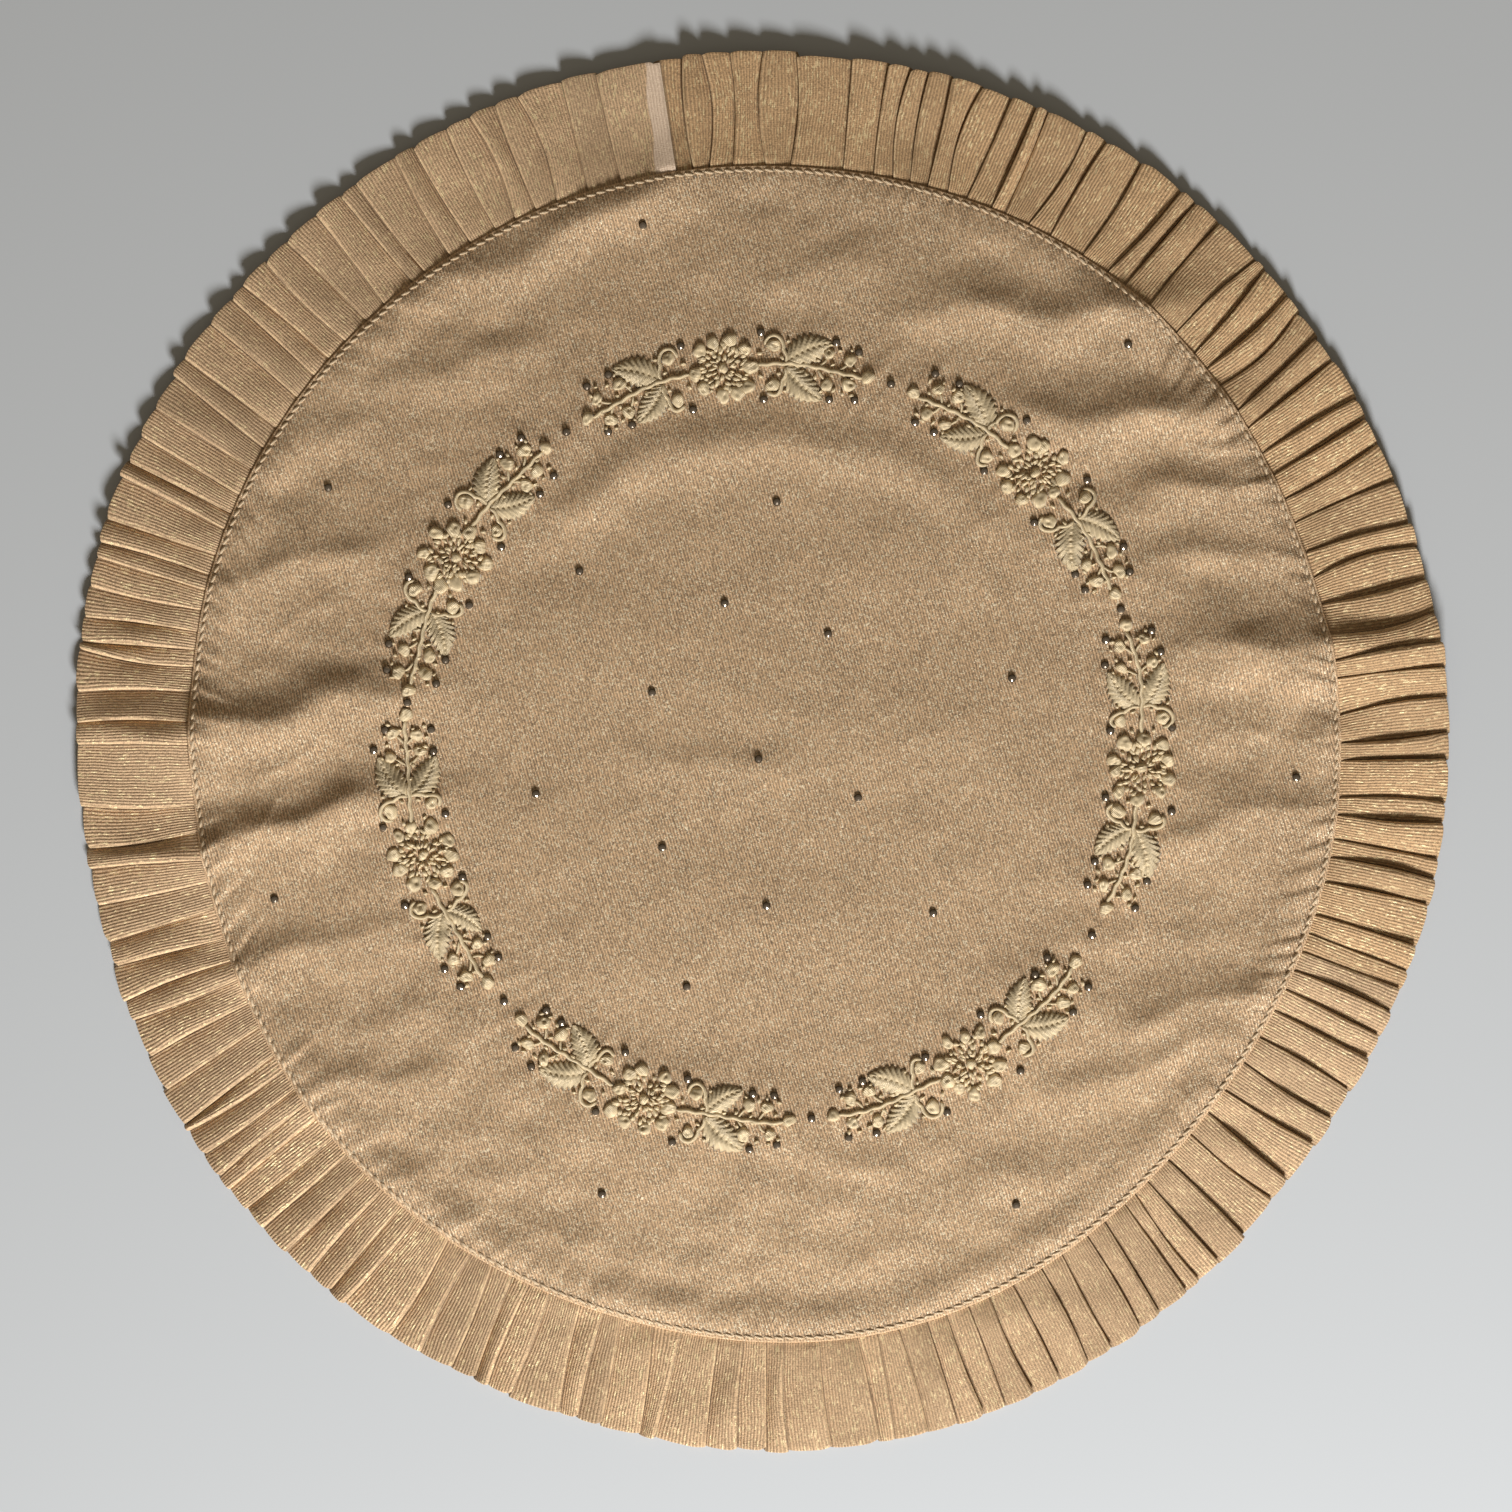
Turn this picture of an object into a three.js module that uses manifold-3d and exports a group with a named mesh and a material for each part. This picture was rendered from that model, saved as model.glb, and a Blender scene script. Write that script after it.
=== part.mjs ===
// Round skirt in gold glitter cloth: a lined disc, a knife-pleated ruffle sewn into its seam,
// a padded embroidered garland and small set stones. Millimetres, +Z up, lying flat on Z = 0.
import * as THREE from 'three';
import { mergeVertices } from 'three/addons/utils/BufferGeometryUtils.js';
import Module from 'manifold-3d';

const wasm = await Module();
wasm.setup();

// ---- Driving dimensions ------------------------------------------------------------------

const SEAM_RADIUS = 177.5;       // finished disc, out to its turned edge
// Hand sewing pulls the seam out of round: [lobes, depth, direction of the first lobe in degrees]
const SEAM_WAVES = [[2, 2.1, 90], [3, 1.1, 33], [5, 0.7, -3], [6, 0.6, -13]];

const GAP = 0.3;                 // air between neighbouring layers
const CLOTH = 0.6;               // face cloth and lining, drawn at the thickness they loft to
const BACKING = 0.5;             // stabiliser felt behind the embroidery
const SEAM_PACK = 1.2;           // folded ruffle layers pressed flat inside the seam
const SEAM_ALLOWANCE = 9;        // how far the ruffle reaches in between the two discs

const RUFFLE_WIDTH = 33.9;       // free width beyond that edge
const RUFFLE_SWING = 1.2;        // the ruffle is a little wider on one side ...
const RUFFLE_SWING_TOWARDS = 150; // ... towards this direction, in degrees
const STRIP_COUNT = 3;           // lengths of doubled cloth that make up the ruffle
const STRIP_START = 99.4;        // direction of the first join, in degrees
const STRIP_JOIN = 0.12;         // air at each join, in degrees
const PLEATS_PER_STRIP = 47;
const PLEAT_LOW = 1.9;           // height where a pleat dives under its neighbour
const PLEAT_HIGH = 5.0;          // height of the proudest folded edge, at the rim
const PLEAT_VARIES = 0.5;        // half of how far the others stay below it
const FOLD_SHARE = 0.93;         // where along its pleat the folded edge stands

const STITCH_INSET = 1.5;        // topstitching, measured in from the disc's edge
const STITCH_WIDTH = 0.9;
const STITCH_HEIGHT = 0.5;

const GARLAND_CENTRE = [2.1, 2.7];
const GARLAND_HALF_WIDTH = 17;   // the stabiliser reaches this far each side of the garland
// One flower each: [distance from the garland's centre, direction in degrees]
const FLOWERS = [[114.5, 97.3], [111, 149.8], [111.5, 198.2], [115.8, 250.5], [115.8, 301.8],
  [113.2, 355.8], [114.8, 405.4]];
const GARLAND_RADIUS = 113.7;

const PETAL_COUNT = 10;
const PETAL_CENTRES = 9.2;
const PETAL_RADIUS = 2.1;
const FLOWER_EYE_RADIUS = 4.2;
const THREAD_HEIGHT = 1.4;       // padded satin stitch stands this high
const STALK_WIDTH = 0.9;
const STALK_HEIGHT = 0.8;
const PETAL_HEIGHT = 1.2;
const HEAD_SIDES = 5;            // flats round a petal or a berry, apart from its stalk

const STEM_FROM = 11.4;          // along the garland from the flower's centre
const STEM_TO = 44;
const STEM_WIDTH = 1.2;
const BERRY_RADIUS = 1.9;
// Pairs across the stem: [distance along, distance aside]
const BERRY_PAIRS = [[15.3, 7.2], [31.8, 4.6], [38.2, 4.0]];
const LEAF_BASE = 19.2;
const LEAF_TIP = [29.2, 9.6];
const LEAF_HALF_WIDTH = 2.9;

const STONE_RADIUS = 1.35;       // a small faceted stone in its cup
const STONE_HEIGHT = 1.5;
const CUP_HEIGHT = 0.6;
const STONE_TABLE = 0.7;
// Loose stones, counted out from the middle: [distance from the centre, direction in degrees]
const FIELD_STONES = [[3.4, 242],
  [40.4, 61], [46.2, 105], [38.3, 153], [43, 224], [47.7, 271], [32.3, 333],
  [78.7, 16], [75.6, 87], [78.2, 136], [70.8, 191], [76, 252], [71.8, 316],
  [166, 48], [164, 103], [155, 149], [156, 197], [144.3, 250], [158.7, 299], [162.5, 357]];

// Heights of the face cloth's underside: it rides over the stabiliser and the seam.
const LINING_TOP = CLOTH;
const OVER_LINING = LINING_TOP + GAP;
const OVER_BACKING = OVER_LINING + BACKING + GAP;
const OVER_SEAM = OVER_LINING + SEAM_PACK + GAP;
const FACE_UNDERSIDE = [[0, OVER_LINING], [86, OVER_LINING], [92, OVER_BACKING],
  [160, OVER_BACKING], [165.5, OVER_SEAM], [SEAM_RADIUS, OVER_SEAM]];

const DISC_SIDES = 60;

// ---- Colours -----------------------------------------------------------------------------

const goldGlitter = new THREE.MeshStandardMaterial({ color: 0xc09a6b, roughness: 0.5, metalness: 0.35 });
const ruffleGlitter = new THREE.MeshStandardMaterial({ color: 0xc49c68, roughness: 0.45, metalness: 0.4 });
const liningCloth = new THREE.MeshStandardMaterial({ color: 0xcdb896, roughness: 0.85, metalness: 0 });
const stabiliser = new THREE.MeshStandardMaterial({ color: 0xe8e2d4, roughness: 0.95, metalness: 0 });
const satinThread = new THREE.MeshStandardMaterial({ color: 0xc6ae80, roughness: 0.4, metalness: 0.15 });
const darkStone = new THREE.MeshStandardMaterial({ color: 0x5b5650, roughness: 0.15, metalness: 0.7 });

// ---- Helpers -----------------------------------------------------------------------------

const rad = THREE.MathUtils.degToRad;
const skirt = new THREE.Group();

function addMesh(name, geometry, material) {
  const mesh = new THREE.Mesh(geometry, material);
  mesh.name = name;
  skirt.add(mesh);
}

// Distance of the seam from the centre in a given direction.
function seamRadius(angle) {
  return SEAM_WAVES.reduce(
    (r, [lobes, depth, towards]) => r + depth * Math.cos(lobes * (angle - rad(towards))),
    SEAM_RADIUS,
  );
}

// Pulls a round disc out of round like its seam, fully at the rim and hardly near the middle.
function pullOutOfRound(geometry) {
  const position = geometry.attributes.position;
  for (let i = 0; i < position.count; i += 1) {
    const x = position.getX(i);
    const y = position.getY(i);
    const share = Math.hypot(x, y) / SEAM_RADIUS;
    const pull = 1 + (seamRadius(Math.atan2(y, x)) / SEAM_RADIUS - 1) * share * share;
    position.setXY(i, x * pull, y * pull);
  }
  return geometry;
}

// A turned disc or ring from [radius, height] points, with its axis along Z.
function turned(points, sides = DISC_SIDES) {
  const profile = points.map(([radius, height]) => new THREE.Vector2(radius, height));
  return new THREE.LatheGeometry(profile, sides).rotateX(Math.PI / 2);
}

// Height of the face cloth's top at a distance from the centre.
function faceTop(radius) {
  const next = Math.max(1, FACE_UNDERSIDE.findIndex(([r]) => r >= radius));
  const [r0, z0] = FACE_UNDERSIDE[next - 1];
  const [r1, z1] = FACE_UNDERSIDE[next];
  return THREE.MathUtils.mapLinear(radius, r0, r1, z0, z1) + CLOTH;
}

function toSolid(geometry) {
  const plain = geometry.index ? geometry.clone() : mergeVertices(geometry);
  plain.deleteAttribute('normal');
  plain.deleteAttribute('uv');
  const merged = mergeVertices(plain);
  return new wasm.Manifold(new wasm.Mesh({
    numProp: 3,
    vertProperties: new Float32Array(merged.attributes.position.array),
    triVerts: new Uint32Array(merged.index.array),
  }));
}

// Joins pieces that run into one another into one closed body.
function joined(geometries) {
  const solid = geometries.map(toSolid).reduce((whole, piece) => whole.add(piece));
  const { vertProperties, triVerts } = solid.getMesh();
  const geometry = new THREE.BufferGeometry();
  geometry.setAttribute('position', new THREE.BufferAttribute(vertProperties, 3));
  geometry.setIndex(new THREE.BufferAttribute(triVerts, 1));
  geometry.computeVertexNormals();
  return geometry;
}

// ---- Discs and stabiliser ----------------------------------------------------------------

function makeLining() {
  const disc = turned([[0, 0], [SEAM_RADIUS, 0], [SEAM_RADIUS, LINING_TOP], [0, LINING_TOP]]);
  addMesh('lining_panel', pullOutOfRound(disc), liningCloth);
}

function makeFace() {
  const underside = FACE_UNDERSIDE;
  const top = underside.map(([radius, height]) => [radius, height + CLOTH]).reverse();
  addMesh('face_panel', pullOutOfRound(turned([...underside, ...top])), goldGlitter);
}

function makeBacking() {
  const inner = GARLAND_RADIUS - GARLAND_HALF_WIDTH;
  const outer = GARLAND_RADIUS + GARLAND_HALF_WIDTH;
  const top = OVER_LINING + BACKING;
  const ring = turned([[inner, OVER_LINING], [outer, OVER_LINING], [outer, top], [inner, top],
    [inner, OVER_LINING]]);
  addMesh('embroidery_backing', ring.translate(...GARLAND_CENTRE, 0), stabiliser);
}

function makeTopstitch() {
  const bottom = OVER_SEAM + CLOTH + GAP;
  const middle = SEAM_RADIUS - STITCH_INSET;
  const half = STITCH_WIDTH / 2;
  const ring = turned([[middle - half, bottom], [middle + half, bottom],
    [middle, bottom + STITCH_HEIGHT], [middle - half, bottom]]);
  addMesh('topstitch_thread', pullOutOfRound(ring), satinThread);
}

// ---- Ruffle ------------------------------------------------------------------------------

// Free width of the ruffle in a given direction.
function ruffleWidth(angle) {
  return RUFFLE_WIDTH + RUFFLE_SWING * Math.cos(angle - rad(RUFFLE_SWING_TOWARDS));
}

// Shares of the strip's length at which its pleats begin: uneven, as pleats laid by hand.
function pleatStarts() {
  const starts = [0];
  for (let i = 0; i < PLEATS_PER_STRIP; i += 1) {
    starts.push(starts[i] + 1 + 0.22 * Math.sin(i * 2.4) + 0.12 * Math.sin(i * 5.1 + 1));
  }
  return starts.map((start) => start / starts[PLEATS_PER_STRIP]);
}

// One strip: a box with two columns to a pleat, bent round the disc. Its top is a saw tooth:
// each pleat climbs from where it dives under its neighbour to its own folded edge, and all
// the folded edges face the way that directions are counted. The seam presses it flat.
function makeStrip(index) {
  const starts = pleatStarts();
  const columns = 2 * PLEATS_PER_STRIP;
  const strip = new THREE.BoxGeometry(columns, 1, 2, columns, 1, 2);
  const from = rad(STRIP_START + (index * 360) / STRIP_COUNT);
  const span = rad(360 / STRIP_COUNT - STRIP_JOIN);
  const position = strip.attributes.position;
  for (let i = 0; i < position.count; i += 1) {
    const column = Math.round(position.getX(i) + columns / 2);
    const pleat = Math.floor(column / 2);
    const isFold = column % 2 === 1;
    const share = isFold
      ? THREE.MathUtils.lerp(starts[pleat], starts[pleat + 1], FOLD_SHARE)
      : starts[pleat];
    const foldHeight = PLEAT_HIGH - PLEAT_VARIES * (1 + Math.sin(pleat * 1.7 + index));
    const isTop = position.getY(i) > 0;
    const height = isTop ? (isFold ? foldHeight : PLEAT_LOW) : 0;
    const step = Math.round(position.getZ(i) + 1);
    const angle = from + span * share;
    const seam = seamRadius(angle);
    const radius = [seam - SEAM_ALLOWANCE, seam + 1, seam + ruffleWidth(angle)][step];
    const rise = step === 2 ? height : OVER_LINING + (height * SEAM_PACK) / PLEAT_HIGH;
    position.setXYZ(i, radius * Math.cos(angle), radius * Math.sin(angle), rise);
  }
  return strip;
}

// ---- Embroidery --------------------------------------------------------------------------

const threadBase = OVER_BACKING + CLOTH + GAP;

// A point of the garland beside flower k: along it towards the next flower (side 1) or the
// one before (side -1), and aside, away from the middle when positive.
function garlandPoint(k, side, along, aside) {
  const count = FLOWERS.length;
  const [radius, angle] = FLOWERS[k];
  const [nextRadius, nextAngle] = FLOWERS[(k + side + count) % count];
  const turn = THREE.MathUtils.euclideanModulo((nextAngle - angle) * side, 360) * side;
  const share = along / (rad(Math.abs(turn)) * GARLAND_RADIUS);
  const r = THREE.MathUtils.lerp(radius, nextRadius, share) + aside;
  const a = rad(angle + turn * share);
  return new THREE.Vector2(GARLAND_CENTRE[0] + r * Math.cos(a), GARLAND_CENTRE[1] + r * Math.sin(a));
}

// Outline points of a round head of satin stitch on a narrow stalk, in the order that they
// are met when walking along the line that the stalk stands on. Each is [along, aside].
function headOnStalk(along, aside, radius) {
  const points = [[along - STALK_WIDTH / 2, STEM_WIDTH / 2]];
  for (let i = 0; i <= HEAD_SIDES; i += 1) {
    const angle = rad(THREE.MathUtils.lerp(234, -54, i / HEAD_SIDES));
    points.push([along + radius * Math.cos(angle), aside + radius * Math.sin(angle)]);
  }
  points.push([along + STALK_WIDTH / 2, STEM_WIDTH / 2]);
  return points;
}

// Outline points of a leaf that slants away from the stem, widest before its middle.
function leafEdge() {
  const base = new THREE.Vector2(LEAF_BASE, STEM_WIDTH / 2);
  const along = new THREE.Vector2(...LEAF_TIP).sub(base);
  const across = new THREE.Vector2(-along.y, along.x).normalize();
  const widths = [[0, 0.1], [0.25, 0.8], [0.5, 1], [0.8, 0.6], [1, 0], [0.8, -0.6], [0.5, -1],
    [0.3, -0.75]];
  return [...widths.map(([share, width]) => base.clone()
    .addScaledVector(along, share)
    .addScaledVector(across, width * LEAF_HALF_WIDTH)
    .toArray()), [LEAF_BASE + STEM_WIDTH, STEM_WIDTH / 2]];
}

// Ten padded petals on stalks round a raised eye.
function makeFlower(k) {
  const centre = garlandPoint(k, 1, 0, 0);
  const pitch = (2 * Math.PI) / PETAL_COUNT;
  const petal = headOnStalk(0, PETAL_CENTRES, PETAL_RADIUS);
  petal[0][1] = FLOWER_EYE_RADIUS;
  petal[petal.length - 1][1] = FLOWER_EYE_RADIUS;
  const points = [];
  for (let i = 0; i < PETAL_COUNT; i += 1) {
    const turn = rad(FLOWERS[k][1]) - (i + 0.5) * pitch;
    for (const [across, out] of petal) {
      points.push(new THREE.Vector2(across, out).rotateAround(new THREE.Vector2(), turn).add(centre));
    }
  }
  const rosette = new THREE.ExtrudeGeometry(new THREE.Shape(points), {
    depth: PETAL_HEIGHT,
    bevelEnabled: false,
  }).translate(0, 0, threadBase);
  const eyeHeight = THREAD_HEIGHT - STALK_HEIGHT / 2;
  const eye = new THREE.CylinderGeometry(FLOWER_EYE_RADIUS * 0.6, FLOWER_EYE_RADIUS * 0.9, eyeHeight, 10)
    .rotateX(Math.PI / 2)
    .translate(centre.x, centre.y, threadBase + THREAD_HEIGHT - eyeHeight / 2);
  return joined([rosette, eye]);
}

// A stem with berries and two leaves: one edge of its outline, its tip berry, and the same
// edge again on the other side, coming back.
function makeSprig(k, side) {
  const edge = [[STEM_FROM, STEM_WIDTH / 2]];
  const [curlBerry, ...tipBerries] = BERRY_PAIRS;
  edge.push(...headOnStalk(...curlBerry, BERRY_RADIUS), ...leafEdge());
  for (const berry of tipBerries) edge.push(...headOnStalk(...berry, BERRY_RADIUS));
  const tip = headOnStalk(0, STEM_TO, BERRY_RADIUS).slice(1, -1).map(([x, y]) => [y, -x]);
  const back = edge.map(([along, aside]) => [along, -aside]).reverse();
  const points = [...edge, ...tip, ...back].map(
    ([along, aside]) => garlandPoint(k, side, along, aside),
  );
  return new THREE.ExtrudeGeometry(new THREE.Shape(points), {
    depth: THREAD_HEIGHT,
    bevelEnabled: false,
  }).translate(0, 0, threadBase);
}

// ---- Stones ------------------------------------------------------------------------------

function stone(x, y, z) {
  return turned([[0, 0], [STONE_RADIUS, 0], [STONE_RADIUS, CUP_HEIGHT], [STONE_TABLE, STONE_HEIGHT],
    [0, STONE_HEIGHT]], 6).translate(x, y, z);
}

// ---- Assembly ----------------------------------------------------------------------------

makeLining();
makeBacking();
makeFace();
makeTopstitch();
for (let i = 0; i < STRIP_COUNT; i += 1) {
  addMesh(`ruffle_strip_${i + 1}`, makeStrip(i), ruffleGlitter);
}
for (let k = 0; k < FLOWERS.length; k += 1) {
  addMesh(`flower_${k + 1}`, makeFlower(k), satinThread);
  addMesh(`sprig_${k + 1}_before`, makeSprig(k, -1), satinThread);
  addMesh(`sprig_${k + 1}_after`, makeSprig(k, 1), satinThread);
  const [, angle] = FLOWERS[k];
  const [, nextAngle] = FLOWERS[(k + 1) % FLOWERS.length];
  const halfway = rad(THREE.MathUtils.euclideanModulo(nextAngle - angle, 360) / 2) * GARLAND_RADIUS;
  const tip = garlandPoint(k, 1, halfway, 0);
  addMesh(`tip_stone_${k + 1}`, stone(tip.x, tip.y, threadBase), darkStone);
}
FIELD_STONES.forEach(([distance, direction], i) => {
  const x = distance * Math.cos(rad(direction));
  const y = distance * Math.sin(rad(direction));
  const number = String(i + 1).padStart(2, '0');
  addMesh(`field_stone_${number}`, stone(x, y, faceTop(distance) + GAP), darkStone);
});

// The origin is under the middle of the whole outline.
const outline = new THREE.Box3().setFromObject(skirt, true);
const middle = outline.getCenter(new THREE.Vector3());
skirt.position.set(-middle.x, -middle.y, 0);
skirt.updateMatrixWorld(true);

export default skirt;
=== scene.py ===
"""A small round skirt in gold glitter cloth, laid flat: a lined disc, a knife-pleated ruffle, an
embroidered garland of flowers and sprigs, and small set stones.

Laid out as an add-on with one operator for each kind of piece, and run as a script.
"""

import math

import bpy
import numpy as np
from bpy.props import FloatProperty, FloatVectorProperty, IntProperty, PointerProperty
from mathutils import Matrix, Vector


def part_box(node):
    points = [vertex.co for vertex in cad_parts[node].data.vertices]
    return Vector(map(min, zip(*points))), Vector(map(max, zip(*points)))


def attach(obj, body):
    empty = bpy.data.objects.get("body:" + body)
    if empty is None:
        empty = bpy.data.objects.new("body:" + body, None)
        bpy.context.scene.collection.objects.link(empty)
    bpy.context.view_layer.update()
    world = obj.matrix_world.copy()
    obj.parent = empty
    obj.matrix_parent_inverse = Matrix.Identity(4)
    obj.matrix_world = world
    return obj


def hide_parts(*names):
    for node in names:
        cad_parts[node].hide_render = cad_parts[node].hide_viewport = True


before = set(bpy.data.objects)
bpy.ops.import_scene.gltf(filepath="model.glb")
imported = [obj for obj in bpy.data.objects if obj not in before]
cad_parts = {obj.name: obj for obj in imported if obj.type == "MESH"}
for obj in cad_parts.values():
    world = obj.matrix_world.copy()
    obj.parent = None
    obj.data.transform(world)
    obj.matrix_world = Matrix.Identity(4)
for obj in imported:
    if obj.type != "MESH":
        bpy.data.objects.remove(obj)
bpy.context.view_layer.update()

bl_info = {
    "name": "Ruffled glitter skirt",
    "version": (1, 0, 0),
    "blender": (4, 5, 0),
    "location": "3D View > Sidebar > Skirt",
    "description": "Builds the cloth, ruffle, embroidery and stones of a round skirt",
    "category": "Object",
}

MM = 0.001                      # shapes are worked out in millimetres and placed in metres
TAU = 2 * math.pi

# ---- The skirt's own plan, in millimetres and degrees from the middle of the disc ---------

SEAM_RADIUS = 177.5             # the disc, out to its turned edge
# The edge is sewn a little out of round: (lobes, depth, direction of the first lobe)
SEAM_WAVES = ((2, 2.1, 90), (3, 1.1, 33), (5, 0.7, -3), (6, 0.6, -13))
RUFFLE_WIDTH = 33.9
RUFFLE_SWING = 1.2
RUFFLE_SWING_TOWARDS = 150
STRIP_COUNT = 3
STRIP_START = 99.4
PLEATS_PER_STRIP = 47
STRIP_TONES = (0.0, 0.2, 1.0)   # each strip is cut another way of the cloth: 1 looks deepest
# Pleats laid wider than the rest: (direction, width as a multiple of the usual)
WIDE_PLEATS = ((101.5, 1.9), (142, 1.5), (182.3, 2.5), (85.8, 2.1), (57, 1.5), (6.5, 1.5),
               (275, 1.4), (318, 1.4), (236, 1.5))
GARLAND_OFFSET = np.array([2.1, 2.7])
GARLAND_RADIUS = 113.7
FLOWER_COUNT = 7
FIELD_STONE_COUNT = 20
STITCH_INSET = 1.5
FACE_TURNING, LINING_TURNING = 6.5, 6.0     # cloth turned in at the edge of each disc
TURN_THICKNESS = 0.7                        # of a disc's turned edge
RIB_TURN = -16.5                            # of the disc's ribs, in degrees
RUFFLE_LAYER = 0.55                         # spacing of a pleat's layers at the rim
SEAM_LAYER = 0.36                           # and pressed in the seam
HIDDEN_COLUMNS, TOP_COLUMNS, FOLD_COLUMNS, BACK_COLUMNS, TUCK_COLUMNS = 3, 9, 5, 4, 3
STONE_TILT = 0.05
STITCH_COUNT = 364

# Folds left from storage, and ripples: (from x, from y, to x, to y, height, spread towards
# the front, spread towards the back)
FOLDS = (
    (-212, 2, -108, 16, 5.4, 11.0, 8.0),
    (-190, -33, -104, -13, 4.6, 9.0, 6.0),
    (-176, -68, -110, -56, 2.2, 8.0, 5.5),
    (-150, -108, -100, -98, 1.9, 7.0, 4.5),
    (-104, 139, -22, 173, 3.4, 8.0, 8.0),
    (-108, 112, -66, 128, 1.5, 6.0, 6.0),
    (-172, 52, -118, 60, 2.0, 6.0, 5.0),
    (-160, 84, -124, 96, 1.0, 5.0, 5.0),
    (46, 132, 134, 136, 3.8, 8.0, 8.0),
    (76, 104, 146, 101, 4.8, 8.0, 7.5),
    (116, 79, 158, 79, 2.3, 6.0, 5.0),
    (112, 56, 160, 60, 1.2, 6.0, 5.0),
    (132, 29, 214, 34, 6.0, 16.0, 8.0),
    (118, -30, 170, -15, 1.7, 8.0, 5.0),
    (108, -85, 158, -73, 2.2, 8.0, 6.0),
    (86, -104, 140, -90, 1.9, 7.0, 5.5),
    (60, -134, 108, -122, 1.1, 7.0, 6.0),
    (-36, -5, 6, -4, 0.6, 6.0, 3.5),
    (-60, 40, -20, 44, 0.4, 8.0, 8.0),
    (20, 62, 70, 48, 0.5, 10.0, 8.0),
    (56, 14, 92, -30, 0.5, 9.0, 9.0),
    (0, 145, 40, 150, 1.1, 7.0, 6.0),
    (-90, -138, -40, -154, 1.0, 8.0, 6.0),
    (-153, -7, -135, 2, 0.55, 1.9, 1.3),
    (-154, -26, -147, -11, 0.40, 1.6, 1.2),
    (-150, 36, -128, 44, 0.40, 2.0, 1.4),
    (128, 92, 150, 90, 0.45, 2.0, 1.4),
    (140, 2, 182, 6, 0.9, 4.0, 3.0),
    (44, -23, 77, -75, 0.35, 3.0, 2.0),
    (56, 70, 80, 34, 0.35, 3.5, 2.5),
)
# Folds that follow the garland: (radius, from direction, to direction, height, spread)
ARC_FOLDS = ((92.5, 38, 146, 2.2, 7.5), (131, 205, 330, 0.7, 7.0))


def middle(node):
    """Centre of a CAD node's box in millimetres."""
    low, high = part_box(node)
    return np.array((low + high) / 2) / MM


GARLAND_CENTRE = middle("embroidery_backing")[:2]
DISC_CENTRE = GARLAND_CENTRE - GARLAND_OFFSET


def round_ring(count):
    """Evenly spaced directions of a closed ring."""
    return np.arange(count) * TAU / count


def ease(value, low, high):
    """0 below low, 1 above high, and the smooth cubic 3t^2 - 2t^3 between them."""
    t = np.clip((value - low) / (high - low), 0, 1)
    return t * t * (3 - 2 * t)


def seam_radius(angle):
    """Radius of the disc's edge: a circle plus a few cosines of the direction."""
    radius = np.full(np.shape(angle), SEAM_RADIUS)
    for lobes, depth, towards in SEAM_WAVES:
        radius = radius + depth * np.cos(lobes * (angle - math.radians(towards)))
    return radius


def ruffle_width(angle):
    return RUFFLE_WIDTH + RUFFLE_SWING * np.cos(angle - math.radians(RUFFLE_SWING_TOWARDS))


def polar(radius, angle):
    """Points at a radius and direction from the middle of the disc."""
    return DISC_CENTRE[0] + radius * np.cos(angle), DISC_CENTRE[1] + radius * np.sin(angle)


def pleat_plan(seed=11):
    """Folded edges of every pleat, as directions in radians at the seam and at the rim.

    Each strip's pleats have random widths that add up to the strip. At the rim an edge leans
    by a slow wave plus a random part, which is nothing at the strip's ends, and no pleat gets
    narrower than a quarter of the usual.
    """
    rng = np.random.default_rng(seed)
    span = TAU / STRIP_COUNT
    usual = span / PLEATS_PER_STRIP
    seams, rims = [], []
    for strip in range(STRIP_COUNT):
        start = math.radians(STRIP_START) + strip * span
        widths = np.clip(np.exp(rng.normal(0, 0.24, PLEATS_PER_STRIP)), 0.55, 1.5)
        for direction, share in WIDE_PLEATS:
            slot = int(((math.radians(direction) - start) % TAU) / usual)
            if slot < PLEATS_PER_STRIP:
                widths[slot] = share
        edges = start + span * np.concatenate([[0], np.cumsum(widths)]) / widths.sum()
        lean = 0.010 * np.sin(edges * 9 + strip) + rng.normal(0, 0.0085, edges.size)
        lean *= np.sin(np.linspace(0, math.pi, edges.size)) ** 0.25
        lean[[0, -1]] = 0
        rim_widths = np.maximum(np.diff(edges + lean), usual * 0.25)
        rim = start + span * np.concatenate([[0], np.cumsum(rim_widths)]) / rim_widths.sum()
        seams.append(edges)
        rims.append(rim)
    return seams, rims


SEAM_EDGES, RIM_EDGES = pleat_plan()
ALL_EDGES = np.concatenate([edges[:-1] for edges in SEAM_EDGES])


def fold_height(x, y):
    """Height of the folds and ripples: each is its height times a bell of the distance from
    its line, wider in front than behind, fading beyond the line's ends."""
    x, y = x - DISC_CENTRE[0], y - DISC_CENTRE[1]
    warp = 2.2 * np.sin(x * 0.071 + 1) + 1.4 * np.sin(x * 0.163 + y * 0.05)
    total = np.zeros(np.shape(x))
    for x0, y0, x1, y1, height, front, back in FOLDS:
        length = math.hypot(x1 - x0, y1 - y0)
        ux, uy = (x1 - x0) / length, (y1 - y0) / length
        along = (x - x0) * ux + (y - y0) * uy
        aside = -(x - x0) * uy + (y - y0) * ux + warp
        spread = np.where(aside < 0, front, back)
        margin = 0.28 * length
        ends = ease(along, -margin, margin) * ease(length - along, -margin, margin)
        total += height * ends * np.exp(-np.abs(aside / spread) ** 1.65)
    away = np.hypot(x - GARLAND_OFFSET[0], y - GARLAND_OFFSET[1])
    angle = np.degrees(np.arctan2(y - GARLAND_OFFSET[1], x - GARLAND_OFFSET[0])) % 360
    for radius, start, end, height, spread in ARC_FOLDS:
        ends = ease(angle, start, start + 22) * (1 - ease(angle, end - 22, end))
        total += height * ends * np.exp(-((away - radius + warp * 0.5) / spread) ** 2)
    return total


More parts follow.
